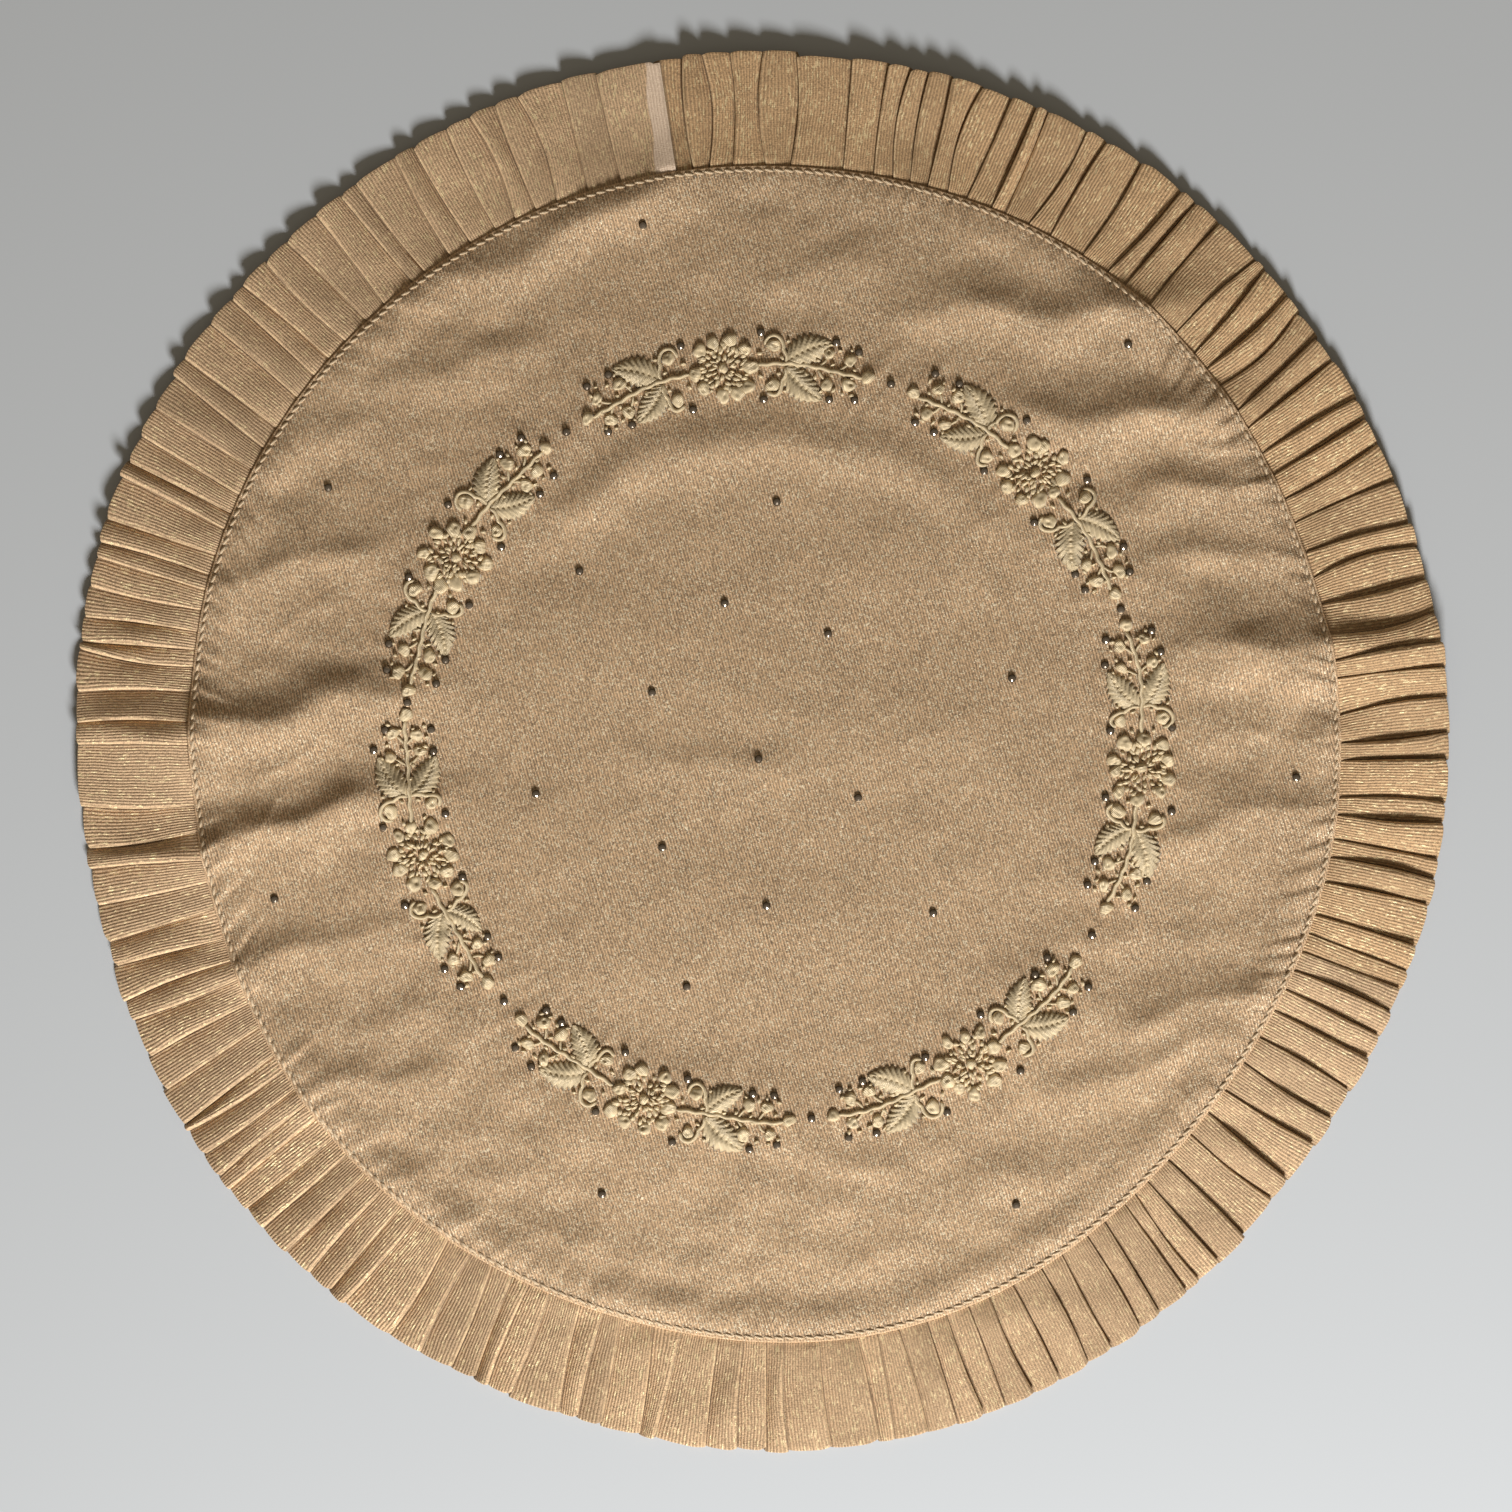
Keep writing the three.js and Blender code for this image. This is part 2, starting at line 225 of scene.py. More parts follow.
def crinkle_waves(seed=3):
    """Wave vectors, phases and heights of the cloth's fine creases. Most of them run from side
    to side, and each is high enough to tilt the cloth by the same small angle."""
    rng = np.random.default_rng(seed)
    count = 18
    length = rng.uniform(7.5, 26, count)
    direction = math.pi / 2 + rng.normal(0, 0.6, count)
    number = TAU / length
    return (number * np.cos(direction), number * np.sin(direction), rng.uniform(0, TAU, count),
            0.024 / number)


CRINKLES = crinkle_waves()


def ripple_height(x, y):
    """Soft unevenness of laid cloth: a few long sines, and fine creases that are stronger
    outside the garland and come and go in patches."""
    x, y = x - DISC_CENTRE[0], y - DISC_CENTRE[1]
    waves = ((0.021, 0.085, 0.4, 0.28), (-0.034, 0.128, 2.1, 0.18), (0.062, 0.19, 4.2, 0.10))
    total = sum(h * np.sin(kx * x + ky * y + phase) for kx, ky, phase, h in waves)
    fine = sum(h * np.sin(kx * x + ky * y + phase + 1.5 * np.sin(0.03 * x + phase))
               for kx, ky, phase, h in zip(*CRINKLES))
    patch = 0.75 + 0.35 * np.sin(0.045 * x + 0.6) * np.sin(0.05 * y + 1.1)
    return total + fine * patch * (0.45 + 0.75 * ease(np.hypot(x, y), 105, 135))


PUCKER_RNG = np.random.default_rng(31)
PUCKER_DEPTH = PUCKER_RNG.uniform(0.25, 1.0, ALL_EDGES.size)
PUCKER_REACH = PUCKER_RNG.uniform(7.0, 20.0, ALL_EDGES.size)


def pucker_height(x, y):
    """The pleats' layers show through near the seam as low ridges, steepest at each folded
    edge, and die away further in than the seam allowance. They are strong at the two sides."""
    angle = np.arctan2(y - DISC_CENTRE[1], x - DISC_CENTRE[0])
    inset = seam_radius(angle) - np.hypot(x - DISC_CENTRE[0], y - DISC_CENTRE[1])
    turned = (angle - 0.0035 * inset * np.sin(angle * 5) - ALL_EDGES[0]) % TAU + ALL_EDGES[0]
    slot = np.clip(np.searchsorted(ALL_EDGES, turned, side="right") - 1, 0, ALL_EDGES.size - 1)
    width = np.diff(np.concatenate([ALL_EDGES, [ALL_EDGES[0] + TAU]]))[slot]
    share = np.clip((turned - ALL_EDGES[slot]) / width, 0, 1)
    depth = PUCKER_DEPTH[slot] + (PUCKER_DEPTH[(slot + 1) % ALL_EDGES.size]
                                  - PUCKER_DEPTH[slot]) * share
    reach = PUCKER_REACH[slot] + (PUCKER_REACH[(slot + 1) % ALL_EDGES.size]
                                  - PUCKER_REACH[slot]) * share
    ridge = ease(share, 0.0, 0.75) * (1 - ease(share, 0.80, 1.0)) - 0.3
    sides = 0.14 + 0.86 * np.abs(np.cos(angle - math.radians(12))) ** 1.5
    return 1.05 * depth * sides * ridge * ease(inset, 0.4, 2.4) * (1 - ease(inset, 3.0, reach))


def face_height(x, y):
    """Height of the face cloth: low in the middle, raised over the embroidery's backing, dipping
    outside it and rolled over the seam, with folds, ripples and puckers added."""
    angle = np.arctan2(y - DISC_CENTRE[1], x - DISC_CENTRE[0])
    radius = np.hypot(x - DISC_CENTRE[0], y - DISC_CENTRE[1])
    inset = seam_radius(angle) - radius
    ring = np.hypot(x - GARLAND_CENTRE[0], y - GARLAND_CENTRE[1]) - GARLAND_RADIUS
    near = np.exp(-(ring / 15.0) ** 2)
    level = 2.0 + 1.3 * near - 0.3 * ease(radius, 60, 100)
    roll = 0.75 - 0.3 * np.sin(angle)
    level = level + 0.2 * (1 - ease(inset, 30, 55)) + 0.35 \
        + roll * (1.2 * (1 - ease(inset, 6.5, 15)) - 0.9 * (1 - ease(inset, 0.0, 6.0)))
    gather = near * (0.20 * np.sin(angle * 71 + 3 * np.sin(angle * 9)) * np.cos(ring * 0.31)
                     + 0.12 * np.sin(angle * 113 + ring * 0.4))
    outside = ease(ring, 6, 14) * (1 - ease(ring, 18, 40))
    gather = gather + 0.32 * outside * np.sin(angle * 37 + 2.4 * np.sin(angle * 5)) \
        * (0.6 - 0.4 * np.sin(angle))
    fold = fold_height(x, y) * (1 - 0.25 * np.exp(-(ring / 10.0) ** 2))
    return level + gather + fold + ripple_height(x, y) + pucker_height(x, y)


# ---- Meshes ------------------------------------------------------------------------------

def grid_quads(rows, columns, wrap=False):
    """Quads of a rows x columns grid of points; wrap joins the last column to the first."""
    index = np.arange(rows * columns).reshape(rows, columns)
    right = np.roll(index, -1, axis=1) if wrap else index[:, 1:]
    left = index if wrap else index[:, :-1]
    return np.stack([left[:-1], right[:-1], right[1:], left[1:]], axis=-1).reshape(-1, 4)


def fan(ring, pole, flip=False):
    """Triangles from a closed ring of points to one pole point."""
    after = np.roll(ring, -1)
    tips = np.full(ring.size, pole)
    return np.stack([after, ring, tips] if flip else [ring, after, tips], axis=-1)


class Shape:
    """Points, faces and UVs gathered from several surfaces and made into one mesh."""

    def __init__(self):
        self.points, self.uvs, self.faces, self.painted_shades = [], [], [], []
        self.count = 0

    def add(self, points, faces, uv=None, foot=0.0):
        """points (n, 3) in millimetres, faces a list of index arrays, uv (n, 2) in millimetres,
        foot the painted shade: 1 where a stitch goes down into the cloth and 0 on its top."""
        points = np.asarray(points, float).reshape(-1, 3)
        self.points.append(points)
        self.painted_shades.append(np.broadcast_to(foot, len(points)))
        self.uvs.append(points[:, :2] if uv is None else np.asarray(uv, float).reshape(-1, 2))
        self.faces.extend(np.asarray(f) + self.count for f in faces if len(f))
        self.count += len(points)

    def foot(self):
        """The painted shade (foot) marks of all the points."""
        return np.concatenate(self.painted_shades)

    def make(self, name, material, smooth=True, marks=None):
        """The mesh object, with a UV map in metres and any named per-point values in marks."""
        mesh = bpy.data.meshes.new(name)
        points = np.concatenate(self.points) * MM
        loops = np.concatenate([f.reshape(-1) for f in self.faces])
        sizes = np.concatenate([np.full(len(f), f.shape[1]) for f in self.faces])
        mesh.vertices.add(len(points))
        mesh.vertices.foreach_set("co", points.astype(np.float32).ravel())
        mesh.loops.add(loops.size)
        mesh.loops.foreach_set("vertex_index", loops.astype(np.int32))
        mesh.polygons.add(sizes.size)
        starts = np.concatenate([[0], np.cumsum(sizes)[:-1]])
        mesh.polygons.foreach_set("loop_start", starts.astype(np.int32))
        mesh.polygons.foreach_set("use_smooth", np.full(sizes.size, smooth))
        uv = np.concatenate(self.uvs) * MM
        layer = mesh.uv_layers.new(name="cloth")
        layer.data.foreach_set("uv", uv[loops].astype(np.float32).ravel())
        for mark, values in (marks or {}).items():
            attribute = mesh.attributes.new(mark, "FLOAT", "POINT")
            attribute.data.foreach_set("value", np.asarray(values, np.float32).ravel())
        mesh.update(calc_edges=True)
        mesh.validate()
        mesh.materials.append(material)
        piece = bpy.data.objects.new(name, mesh)
        bpy.context.scene.collection.objects.link(piece)
        return piece


def settle(piece, slot, *nodes):
    """Rides a piece on the one body and hides the CAD nodes that it stands for; slot is not used.
    """
    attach(piece, "root")
    if nodes:
        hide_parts(*nodes)
    return piece


def loft(shape, rings, uv, foot=None):
    """A surface through closed rings of points (rows, around, 3), with a pole at each end."""
    rows, around, _ = rings.shape
    first = np.arange(around)
    faces = [grid_quads(rows, around, wrap=True), fan(first, rows * around, flip=True),
             fan(first + (rows - 1) * around, rows * around + 1)]
    points = np.concatenate([rings.reshape(-1, 3), rings[0].mean(0)[None],
                             rings[-1].mean(0)[None]])
    uvs = np.concatenate([uv.reshape(-1, 2), uv[0].mean(0)[None], uv[-1].mean(0)[None]])
    foot = np.zeros((rows, around)) if foot is None else foot
    shape.add(points, faces, uvs, np.concatenate([foot.ravel(), foot[0, :1], foot[-1, :1]]))


def polar_sheet(shape, rings, flip=False):
    """A disc of rings round the middle. rings is a list of (radius share of the edge, inset,
    height function or drop, sectors); a ring may have twice the sectors of the one inside."""
    points, faces = [np.array([[*DISC_CENTRE, rings[0][2](*DISC_CENTRE)]])], []
    uvs = [np.zeros((1, 2))]
    start, previous = 1, 0
    for nominal, inset, height, sectors in rings:
        angle = round_ring(sectors)
        edge = seam_radius(angle)
        pull = 1 + (edge / SEAM_RADIUS - 1) * (nominal / SEAM_RADIUS) ** 2
        radius = nominal * pull - inset
        x, y = polar(radius, angle)
        points.append(np.stack([x, y, height(x, y)], axis=-1))
        uvs.append(np.stack([angle * SEAM_RADIUS, edge - radius], axis=-1))
        ring = start + np.arange(sectors)
        if not previous:
            faces.append(fan(ring, 0))
        else:
            inner = start - previous + np.arange(previous)
            if sectors == previous:
                after_in, after_out = np.roll(inner, -1), np.roll(ring, -1)
                faces.append(np.stack([inner, ring, after_out, after_in], axis=-1))
            else:
                after_in = np.roll(inner, -1)
                a, b, c = ring[0::2], ring[1::2], np.roll(ring, -2)[0::2]
                faces.append(np.concatenate([np.stack([inner, a, b], axis=-1),
                                             np.stack([inner, b, after_in], axis=-1),
                                             np.stack([after_in, b, c], axis=-1)]))
        start += sectors
        previous = sectors
    if flip:
        faces = [f[:, ::-1] for f in faces]
    shape.add(np.concatenate(points), faces, np.concatenate(uvs))


# ---- Shaders -----------------------------------------------------------------------------

class Socket:
    """A shader output. Sums on it add Math nodes."""

    def __init__(self, shader, output):
        self.shader, self.output = shader, output

    def math(self, operation, *others):
        return self.shader.node("ShaderNodeMath", {"operation": operation},
                                dict(enumerate((self, *others))))

    def __add__(self, other):
        return self.math("ADD", other)

    def __sub__(self, other):
        return self.math("SUBTRACT", other)

    def __rsub__(self, other):
        return self.shader.node("ShaderNodeMath", {"operation": "SUBTRACT"}, {0: other, 1: self})

    def __mul__(self, other):
        return self.math("MULTIPLY", other)

    def __truediv__(self, other):
        return self.math("DIVIDE", other)

    __radd__ = __add__
    __rmul__ = __mul__

    def wave(self, length):
        """0.5 + 0.5 sin(2 pi value / length)."""
        return (self * (TAU / length)).math("SINE") * 0.5 + 0.5

    def between(self, low, high):
        """0 below low, 1 above high, smooth between."""
        return self.shader.node("ShaderNodeMapRange", {"interpolation_type": "SMOOTHSTEP"},
                                {"Value": self, "From Min": low, "From Max": high})


class Shader:
    """A material's node tree with its Principled shader."""

    def __init__(self, name, **constants):
        self.material = bpy.data.materials.new(name)
        self.material.use_nodes = True
        self.tree = self.material.node_tree
        self.surface = next(n for n in self.tree.nodes if n.type == "BSDF_PRINCIPLED")
        self.set(**constants)

    def link(self, socket, value):
        if isinstance(value, Socket):
            self.tree.links.new(value.output, socket)
        elif value is not None:
            socket.default_value = value

    def set(self, **values):
        """Sets or links the Principled shader's sockets, named with _ for a space."""
        for name, value in values.items():
            self.link(self.surface.inputs[name.replace("_", " ")], value)

    def node(self, kind, settings=None, inputs=None, output=0):
        """Adds a node: its type, its settings, its sockets' values or links."""
        made = self.tree.nodes.new(kind)
        for name, value in (settings or {}).items():
            setattr(made, name, value)
        for name, value in (inputs or {}).items():
            self.link(made.inputs[name], value)
        return Socket(self, made.outputs[output])

    def mix(self, factor, first, second, blend="MIX"):
        return self.node("ShaderNodeMix", {"data_type": "RGBA", "blend_type": blend},
                         {0: factor, 6: first, 7: second}, 2)

    def noise(self, vector, scale, detail=2.0, roughness=0.5):
        return self.node("ShaderNodeTexNoise", {}, {"Vector": vector, "Scale": scale,
                                                    "Detail": detail, "Roughness": roughness})

    def mark(self, name):
        """The value of a named mark on the mesh's points."""
        return self.node("ShaderNodeAttribute", {"attribute_name": name}, output="Fac")

    def vector(self, x, y):
        return self.node("ShaderNodeCombineXYZ", {}, {0: x, 1: y, 2: 0.0})

    def split(self, vector):
        return [self.node("ShaderNodeSeparateXYZ", {}, {0: vector}, i) for i in range(3)]

    def millimetres(self, source, turn=0.0):
        """Object coordinates or the cloth's UV map, turned and scaled to millimetres."""
        if source == "Object":
            raw = self.node("ShaderNodeTexCoord", output="Object")
        else:
            raw = self.node("ShaderNodeUVMap", {"uv_map": "cloth"})
        return self.node("ShaderNodeMapping", {}, {"Vector": raw, "Rotation": (0, 0, turn),
                                                   "Scale": (1000, 1000, 1000)})

    def bump(self, height, distance_mm, strength=1.0):
        normal = self.node("ShaderNodeBump", {}, {"Height": height, "Strength": strength,
                                                  "Distance": distance_mm * MM})
        self.set(Normal=normal)


def shade(colour, factor):
    return tuple(min(1.0, c * factor) for c in colour[:3]) + (1.0,)


def glitter_cloth(name, colour, glint, source, turn, rib, rib_depth, speckle, contrast,
                  dash_sizes, marks=()):
    """Gold cloth with metal threads: fine ribs across the first axis, a finer weft, blotches of
    tone, a speckle of single yarns, and flat metal threads that show as short bright dashes
    along the ribs, their colour lightened into a painted glint. dash_sizes holds the width,
    length and share of the short and the long dashes; marks adds the painted shade of the
    topstitching's needle holes and a painted highlight along the disc's turned edge, or each
    pleat's painted shade, the painted highlights along the folded edges, the painted shade in
    the gaps and the bare selvedge of a ruffle."""
    shader = Shader(name, Specular_IOR_Level=0.4, Sheen_Weight=0.1, Sheen_Roughness=0.4)
    at = shader.millimetres(source, turn)
    bend = shader.noise(at, 0.06, 2.0)
    x, y, _ = shader.split(at)
    x = x + bend * 1.6
    threads = x.wave(rib)
    weft = y.wave(rib * 0.62)
    blotch = shader.noise(at, 0.045, 4.0, 0.6).between(0.32, 0.68)
    cloud = shader.noise(at, 0.16, 3.0, 0.6).between(0.32, 0.68)
    grain = shader.noise(shader.vector(x * 2.2, y * 1.5), 1.0, 3.0, 0.75).between(0.36, 0.64)

    def cells(width, length, seed, result):
        """Random cells of about a width and length: each one's distance or its tone."""
        settings = {"feature": "F1", "voronoi_dimensions": "2D"}
        inputs = {"Vector": shader.vector(x / width + seed, y / length), "Scale": 1.0}
        return shader.node("ShaderNodeTexVoronoi", settings, inputs, result)

    def dashes(width, length, share, seed):
        near = cells(width, length, seed, "Distance")
        red, green, _ = shader.split(cells(width, length, seed, "Color"))
        return (1 - near.between(0.3, 0.55)) * red.between(1 - share, 1 - share + 0.05) * \
            (green * 0.5 + 0.5)

    fine, long = dash_sizes
    glitter = dashes(*fine, 0.0).math("MAXIMUM", dashes(*long, 7.3))
    dark = dashes(0.5, 0.7, 0.4, 31.7)
    yarn, _, _ = shader.split(cells(0.42, 0.55, 51.3, "Color"))
    weave = threads * rib_depth + weft * 0.06 + yarn * speckle + \
        grain * (0.94 - rib_depth - speckle)
    base = shader.mix(weave, shade(colour, 1 - contrast), shade(colour, 1 + contrast * 0.92))
    base = shader.mix(blotch * 0.14 + cloud * 0.10, base, shade(colour, 1.45))
    base = shader.mix(dark * (speckle + 0.4), base, shade(colour, 0.28))
    if "pleats" in marks:
        # Painted shade and glint: every pleat is darkened by its own random share and its glitter
        # dimmed with it, standing in for the way each one takes the light.
        tone = shader.mark("tone")
        base = shader.mix((1 - tone) * 0.42, base, shade(colour, 0.55))
        tint = shader.mix(shader.mark("cut"), (1, 1, 1, 1), (0.90, 0.85, 0.755, 1))
        base = shader.mix(1.0, base, tint, "MULTIPLY")
        glitter = glitter * (0.55 + tone * 0.45)
    # Painted glint: the metal threads' dashes are lightened nearly to the glint colour, standing
    # in for their sparkle; the threads are also paler metal.
    base = shader.mix(glitter * 0.95, base, (*glint, 1))
    metal = glitter * 0.2 + 0.12
    if "pleats" in marks:
        # Painted highlight: each pleat is lightened along its own folded edge, broken up by the
        # blotches.
        painted_fold_highlight = 1 - shader.mark("fold_near").between(0.15, 0.7)
        base = shader.mix(painted_fold_highlight * cloud * 0.6, base, shade(colour, 1.7))
        # Painted shade where each pleat comes out from under the folded edge before it.
        painted_gap_shade = 1 - shader.mark("gap_near").between(0.15, 0.85)
        base = shader.mix(painted_gap_shade * 0.62, base, shade(colour, 0.25))
        pale = shader.mark("selvedge").between(-0.2, 0.2)
        bare = shader.mix(weave, (0.66, 0.48, 0.34, 1), (0.90, 0.71, 0.54, 1))
        base = shader.mix(pale * 0.9, base, bare)
        metal = metal * (1 - pale)
    if "holes" in marks:
        inset = shader.mark("inset")
        u, v, _ = shader.split(shader.millimetres("Object"))
        around = (v - float(DISC_CENTRE[1])).math("ARCTAN2", u - float(DISC_CENTRE[0]))
        place = (around * (STITCH_COUNT / TAU) + 100.5).math("FRACT") - 0.5
        # Painted shade in the needle holes along the stitching.
        painted_hole_shade = 1 - place.math("ABSOLUTE").between(0.06, 0.26)
        painted_hole_shade = painted_hole_shade * (1 - (inset - STITCH_INSET - 0.75).math("ABSOLUTE").between(0.15, 0.75))
        base = shader.mix(painted_hole_shade * 0.5, base, shade(colour, 0.2))
        # Painted highlight along the last millimetre of the turned edge.
        ridge = 1 - inset.between(0.35, 0.9)
        base = shader.mix(ridge * 0.4, base, shade(colour, 1.6))
        metal = metal * (1 - painted_hole_shade)
    shader.set(Base_Color=base, Metallic=metal, Roughness=0.6 - glitter * 0.25)
    shader.bump(threads * (rib_depth * 1.9) + weft * 0.15 + yarn * speckle + grain * 0.4
                + glitter * 0.6, 0.15, 1.0)
    return shader.material


def satin(name, colour, pitch=0.42):
    """Embroidery or sewing thread: close stitches along the first UV axis, glossier on top."""
    shader = Shader(name, Specular_IOR_Level=0.5, Sheen_Weight=0.25, Sheen_Roughness=0.35)
    at = shader.millimetres("UV")
    x, y, _ = shader.split(at)
    wander = shader.noise(at, 0.9, 2.0)
    stitch = (y + wander * 0.25).wave(pitch)
    tone = shader.noise(at, 0.35, 3.0)
    weave = stitch * 0.5 + tone.between(0.3, 0.7) * 0.5
    base = shader.mix(weave, shade(colour, 0.70), shade(colour, 1.34))
    # Painted shade: darker where a stitch goes down into the cloth, in the leaves' grooves and in
    # the pads' hollows.
    base = shader.mix(shader.mark("foot") * 0.6, base, shade(colour, 0.25))
    shader.set(Base_Color=base, Roughness=0.52 - stitch * 0.16, Metallic=0.08 + stitch * 0.08)
    shader.bump(stitch + tone * 0.4, 0.12, 0.9)
    return shader.material


def plain_weave(name, colour, pitch):
    """Matt woven or felted cloth: a checker of two thread waves with fuzz and blotches."""
    shader = Shader(name, Specular_IOR_Level=0.25, Sheen_Weight=0.1)
    at = shader.millimetres("Object")
    x, y, _ = shader.split(at)
    cross = x.wave(pitch) * (1 - y.wave(pitch)) + (1 - x.wave(pitch)) * y.wave(pitch)
    fuzz = shader.noise(at, 1.2, 4.0, 0.65)
    blotch = shader.noise(at, 0.03, 3.0)
    tone = cross * 0.35 + fuzz * 0.5 + blotch * 0.3
    shader.set(Base_Color=shader.mix(tone, shade(colour, 0.74), shade(colour, 1.16)),
               Roughness=0.82 + fuzz * 0.14)
    shader.bump(cross + fuzz * 0.7, 0.12, 0.6)
    return shader.material


def cut_stone(name, colour):
    """Foiled glass: dark, mirror-smooth facets that throw back the lamp."""
    return Shader(name, Base_Color=(*colour, 1), Metallic=0.75, Roughness=0.2,
                  Coat_Weight=1.0, Coat_Roughness=0.06).material


def cup_metal(name, colour):
    return Shader(name, Base_Color=(*colour, 1), Metallic=1.0, Roughness=0.38).material


# ---- Settings ----------------------------------------------------------------------------

def colour_property(label, default, description):
    return FloatVectorProperty(name=label, subtype="COLOR", size=3, min=0, max=1,
                               default=default, description=description)


def length_property(label, default, description):
    return FloatProperty(name=label, default=default, unit="LENGTH", precision=5,
                         description=description)


class SKIRT_PG_cloth(bpy.types.PropertyGroup):
    """Colours and weave of the cloths."""

    gold: colour_property("Gold", (0.548, 0.368, 0.213), "Tone of the disc's cloth")
    ruffle: colour_property("Ruffle", (0.632, 0.427, 0.249), "Tone of the ruffle's cloth")
    # glint and ruffle_glint: colours of the metal threads' painted glints
    glint: colour_property("Glint", (1.0, 0.85, 0.60), "Metal threads of the disc")
    ruffle_glint: colour_property("Ruffle glint", (1.0, 0.80, 0.45), "Metal threads of the ruffle")
    lining: colour_property("Lining", (0.50, 0.40, 0.28), "Tone of the lining")
    felt: colour_property("Backing", (0.78, 0.74, 0.66), "Tone of the embroidery's backing")
    rib: length_property("Rib", 0.0009, "Distance between the cloth's ribs")


class SKIRT_PG_ruffle(bpy.types.PropertyGroup):
    """Sizes of the ruffle's pleats."""

    tuck: length_property("Tuck", 0.0042, "Depth that a pleat is folded back at the seam")
    rim_tuck: length_property("Tuck at the rim", 0.0034, "Depth of the fold at the outer edge")
    lift: length_property("Lift", 0.0009, "How far a usual folded edge stands up at the rim")
    ply: length_property("Ply", 0.0004, "Thickness of the doubled cloth")


class SKIRT_PG_embroidery(bpy.types.PropertyGroup):
    """Colour and height of the embroidery."""

    thread: colour_property("Thread", (0.72, 0.57, 0.35), "Colour of the satin thread")
    height: length_property("Height", 0.0015, "How far the padded stitches stand up")
    petals: IntProperty(name="Petals", default=10, min=4, description="Petals of a flower")


class SKIRT_PG_stones(bpy.types.PropertyGroup):
    """Colours and size of the stones."""

    stone: colour_property("Stone", (0.30, 0.24, 0.18), "Colour of the foiled stones")
    cup: colour_property("Cup", (0.13, 0.095, 0.06), "Colour of the cups")
    radius: length_property("Radius", 0.00125, "Radius of a cup")


class SKIRT_PG_stage(bpy.types.PropertyGroup):
    """Floor and camera."""

    floor: colour_property("Floor", (0.56, 0.58, 0.60), "Colour of the floor")
    view_height: length_property("Camera height", 1.25, "Height of the camera")
    view_width: length_property("View width", 0.462, "Width of the picture on the floor")


# ---- Cloth -------------------------------------------------------------------------------

def turned_edge(height, thickness, allowance, sectors):
    """Rings of a cloth's edge turned under: a half round of the given thickness, then back
    inwards by the allowance. Each is (nominal radius, inset, height function, sectors)."""
    half = thickness / 2
    rings = []
    for angle in np.radians((30, 60, 90, 130, 180)):
        inset, drop = half * (1 - math.sin(angle)), half * (1 - math.cos(angle))
        rings.append((SEAM_RADIUS, inset, lambda x, y, d=drop: height(x, y) - d, sectors))
    for share in (0.4, 1.0):
        rings.append((SEAM_RADIUS, half + share * allowance,
                      lambda x, y: height(x, y) - thickness, sectors))
    return rings


def disc_rings(height, steps, half_turn):
    """Rings of a disc's top, from (radius, spacing, sectors) steps, out to its edge."""
    rings, radius = [], 0.0
    for until, spacing, sectors in steps:
        while radius < until - spacing / 2:
            radius += spacing
            rings.append((min(radius, SEAM_RADIUS - half_turn), 0.0, height, sectors))
    return rings


def make_face(cloth):
    """The disc of face cloth over everything, with its edge turned under."""
    steps = ((56, 2.2, 360), (150, 1.75, 720), (SEAM_RADIUS - TURN_THICKNESS / 2, 1.0, 1440))
    shape = Shape()
    rings = disc_rings(face_height, steps, TURN_THICKNESS / 2)
    polar_sheet(shape, rings + turned_edge(face_height, TURN_THICKNESS, FACE_TURNING, 1440))
    gold = glitter_cloth("gold_glitter", cloth.gold, cloth.glint, "Object",
                         math.radians(RIB_TURN), cloth.rib / MM, 0.50, 0.34, 0.84,
                         ((0.45, 0.50, 0.22), (0.50, 1.1, 0.10)), marks=("holes",))
    x, y = np.concatenate(shape.points)[:, :2].T - DISC_CENTRE[:, None]
    inset = seam_radius(np.arctan2(y, x)) - np.hypot(x, y)
    piece = settle(shape.make("face_panel_cloth", gold, marks={"inset": inset}),
                   "gold_cloth", "face_panel")
    return piece


def lining_height(x, y):
    """Height of the lining: nearly flat, lifted by less than half of the face's folds."""
    return 0.1 + 0.4 * fold_height(x, y) + 0.08 * (1 + np.sin(x * 0.11) * np.sin(y * 0.13))


def make_lining(cloth):
    """The lining, seen from below, with its edge turned up into the seam."""
    half = TURN_THICKNESS / 2
    steps = ((60, 4.0, 180), (SEAM_RADIUS - half, 3.2, 360))
    shape = Shape()
    rings = disc_rings(lining_height, steps, half)
    for angle in np.radians((40, 90, 140, 180)):
        inset, rise = half * (1 - math.sin(angle)), half * (1 - math.cos(angle))
        rings.append((SEAM_RADIUS - 0.4, inset,
                      lambda x, y, d=rise: lining_height(x, y) + d, 360))
    rings.append((SEAM_RADIUS - 0.4, LINING_TURNING + 0.5,
                  lambda x, y: lining_height(x, y) + 2 * half, 360))
    polar_sheet(shape, rings, flip=True)
    weave = plain_weave("lining_weave", cloth.lining, 0.5)
    piece = settle(shape.make("lining_panel_cloth", weave), "lining", "lining_panel")
    return piece


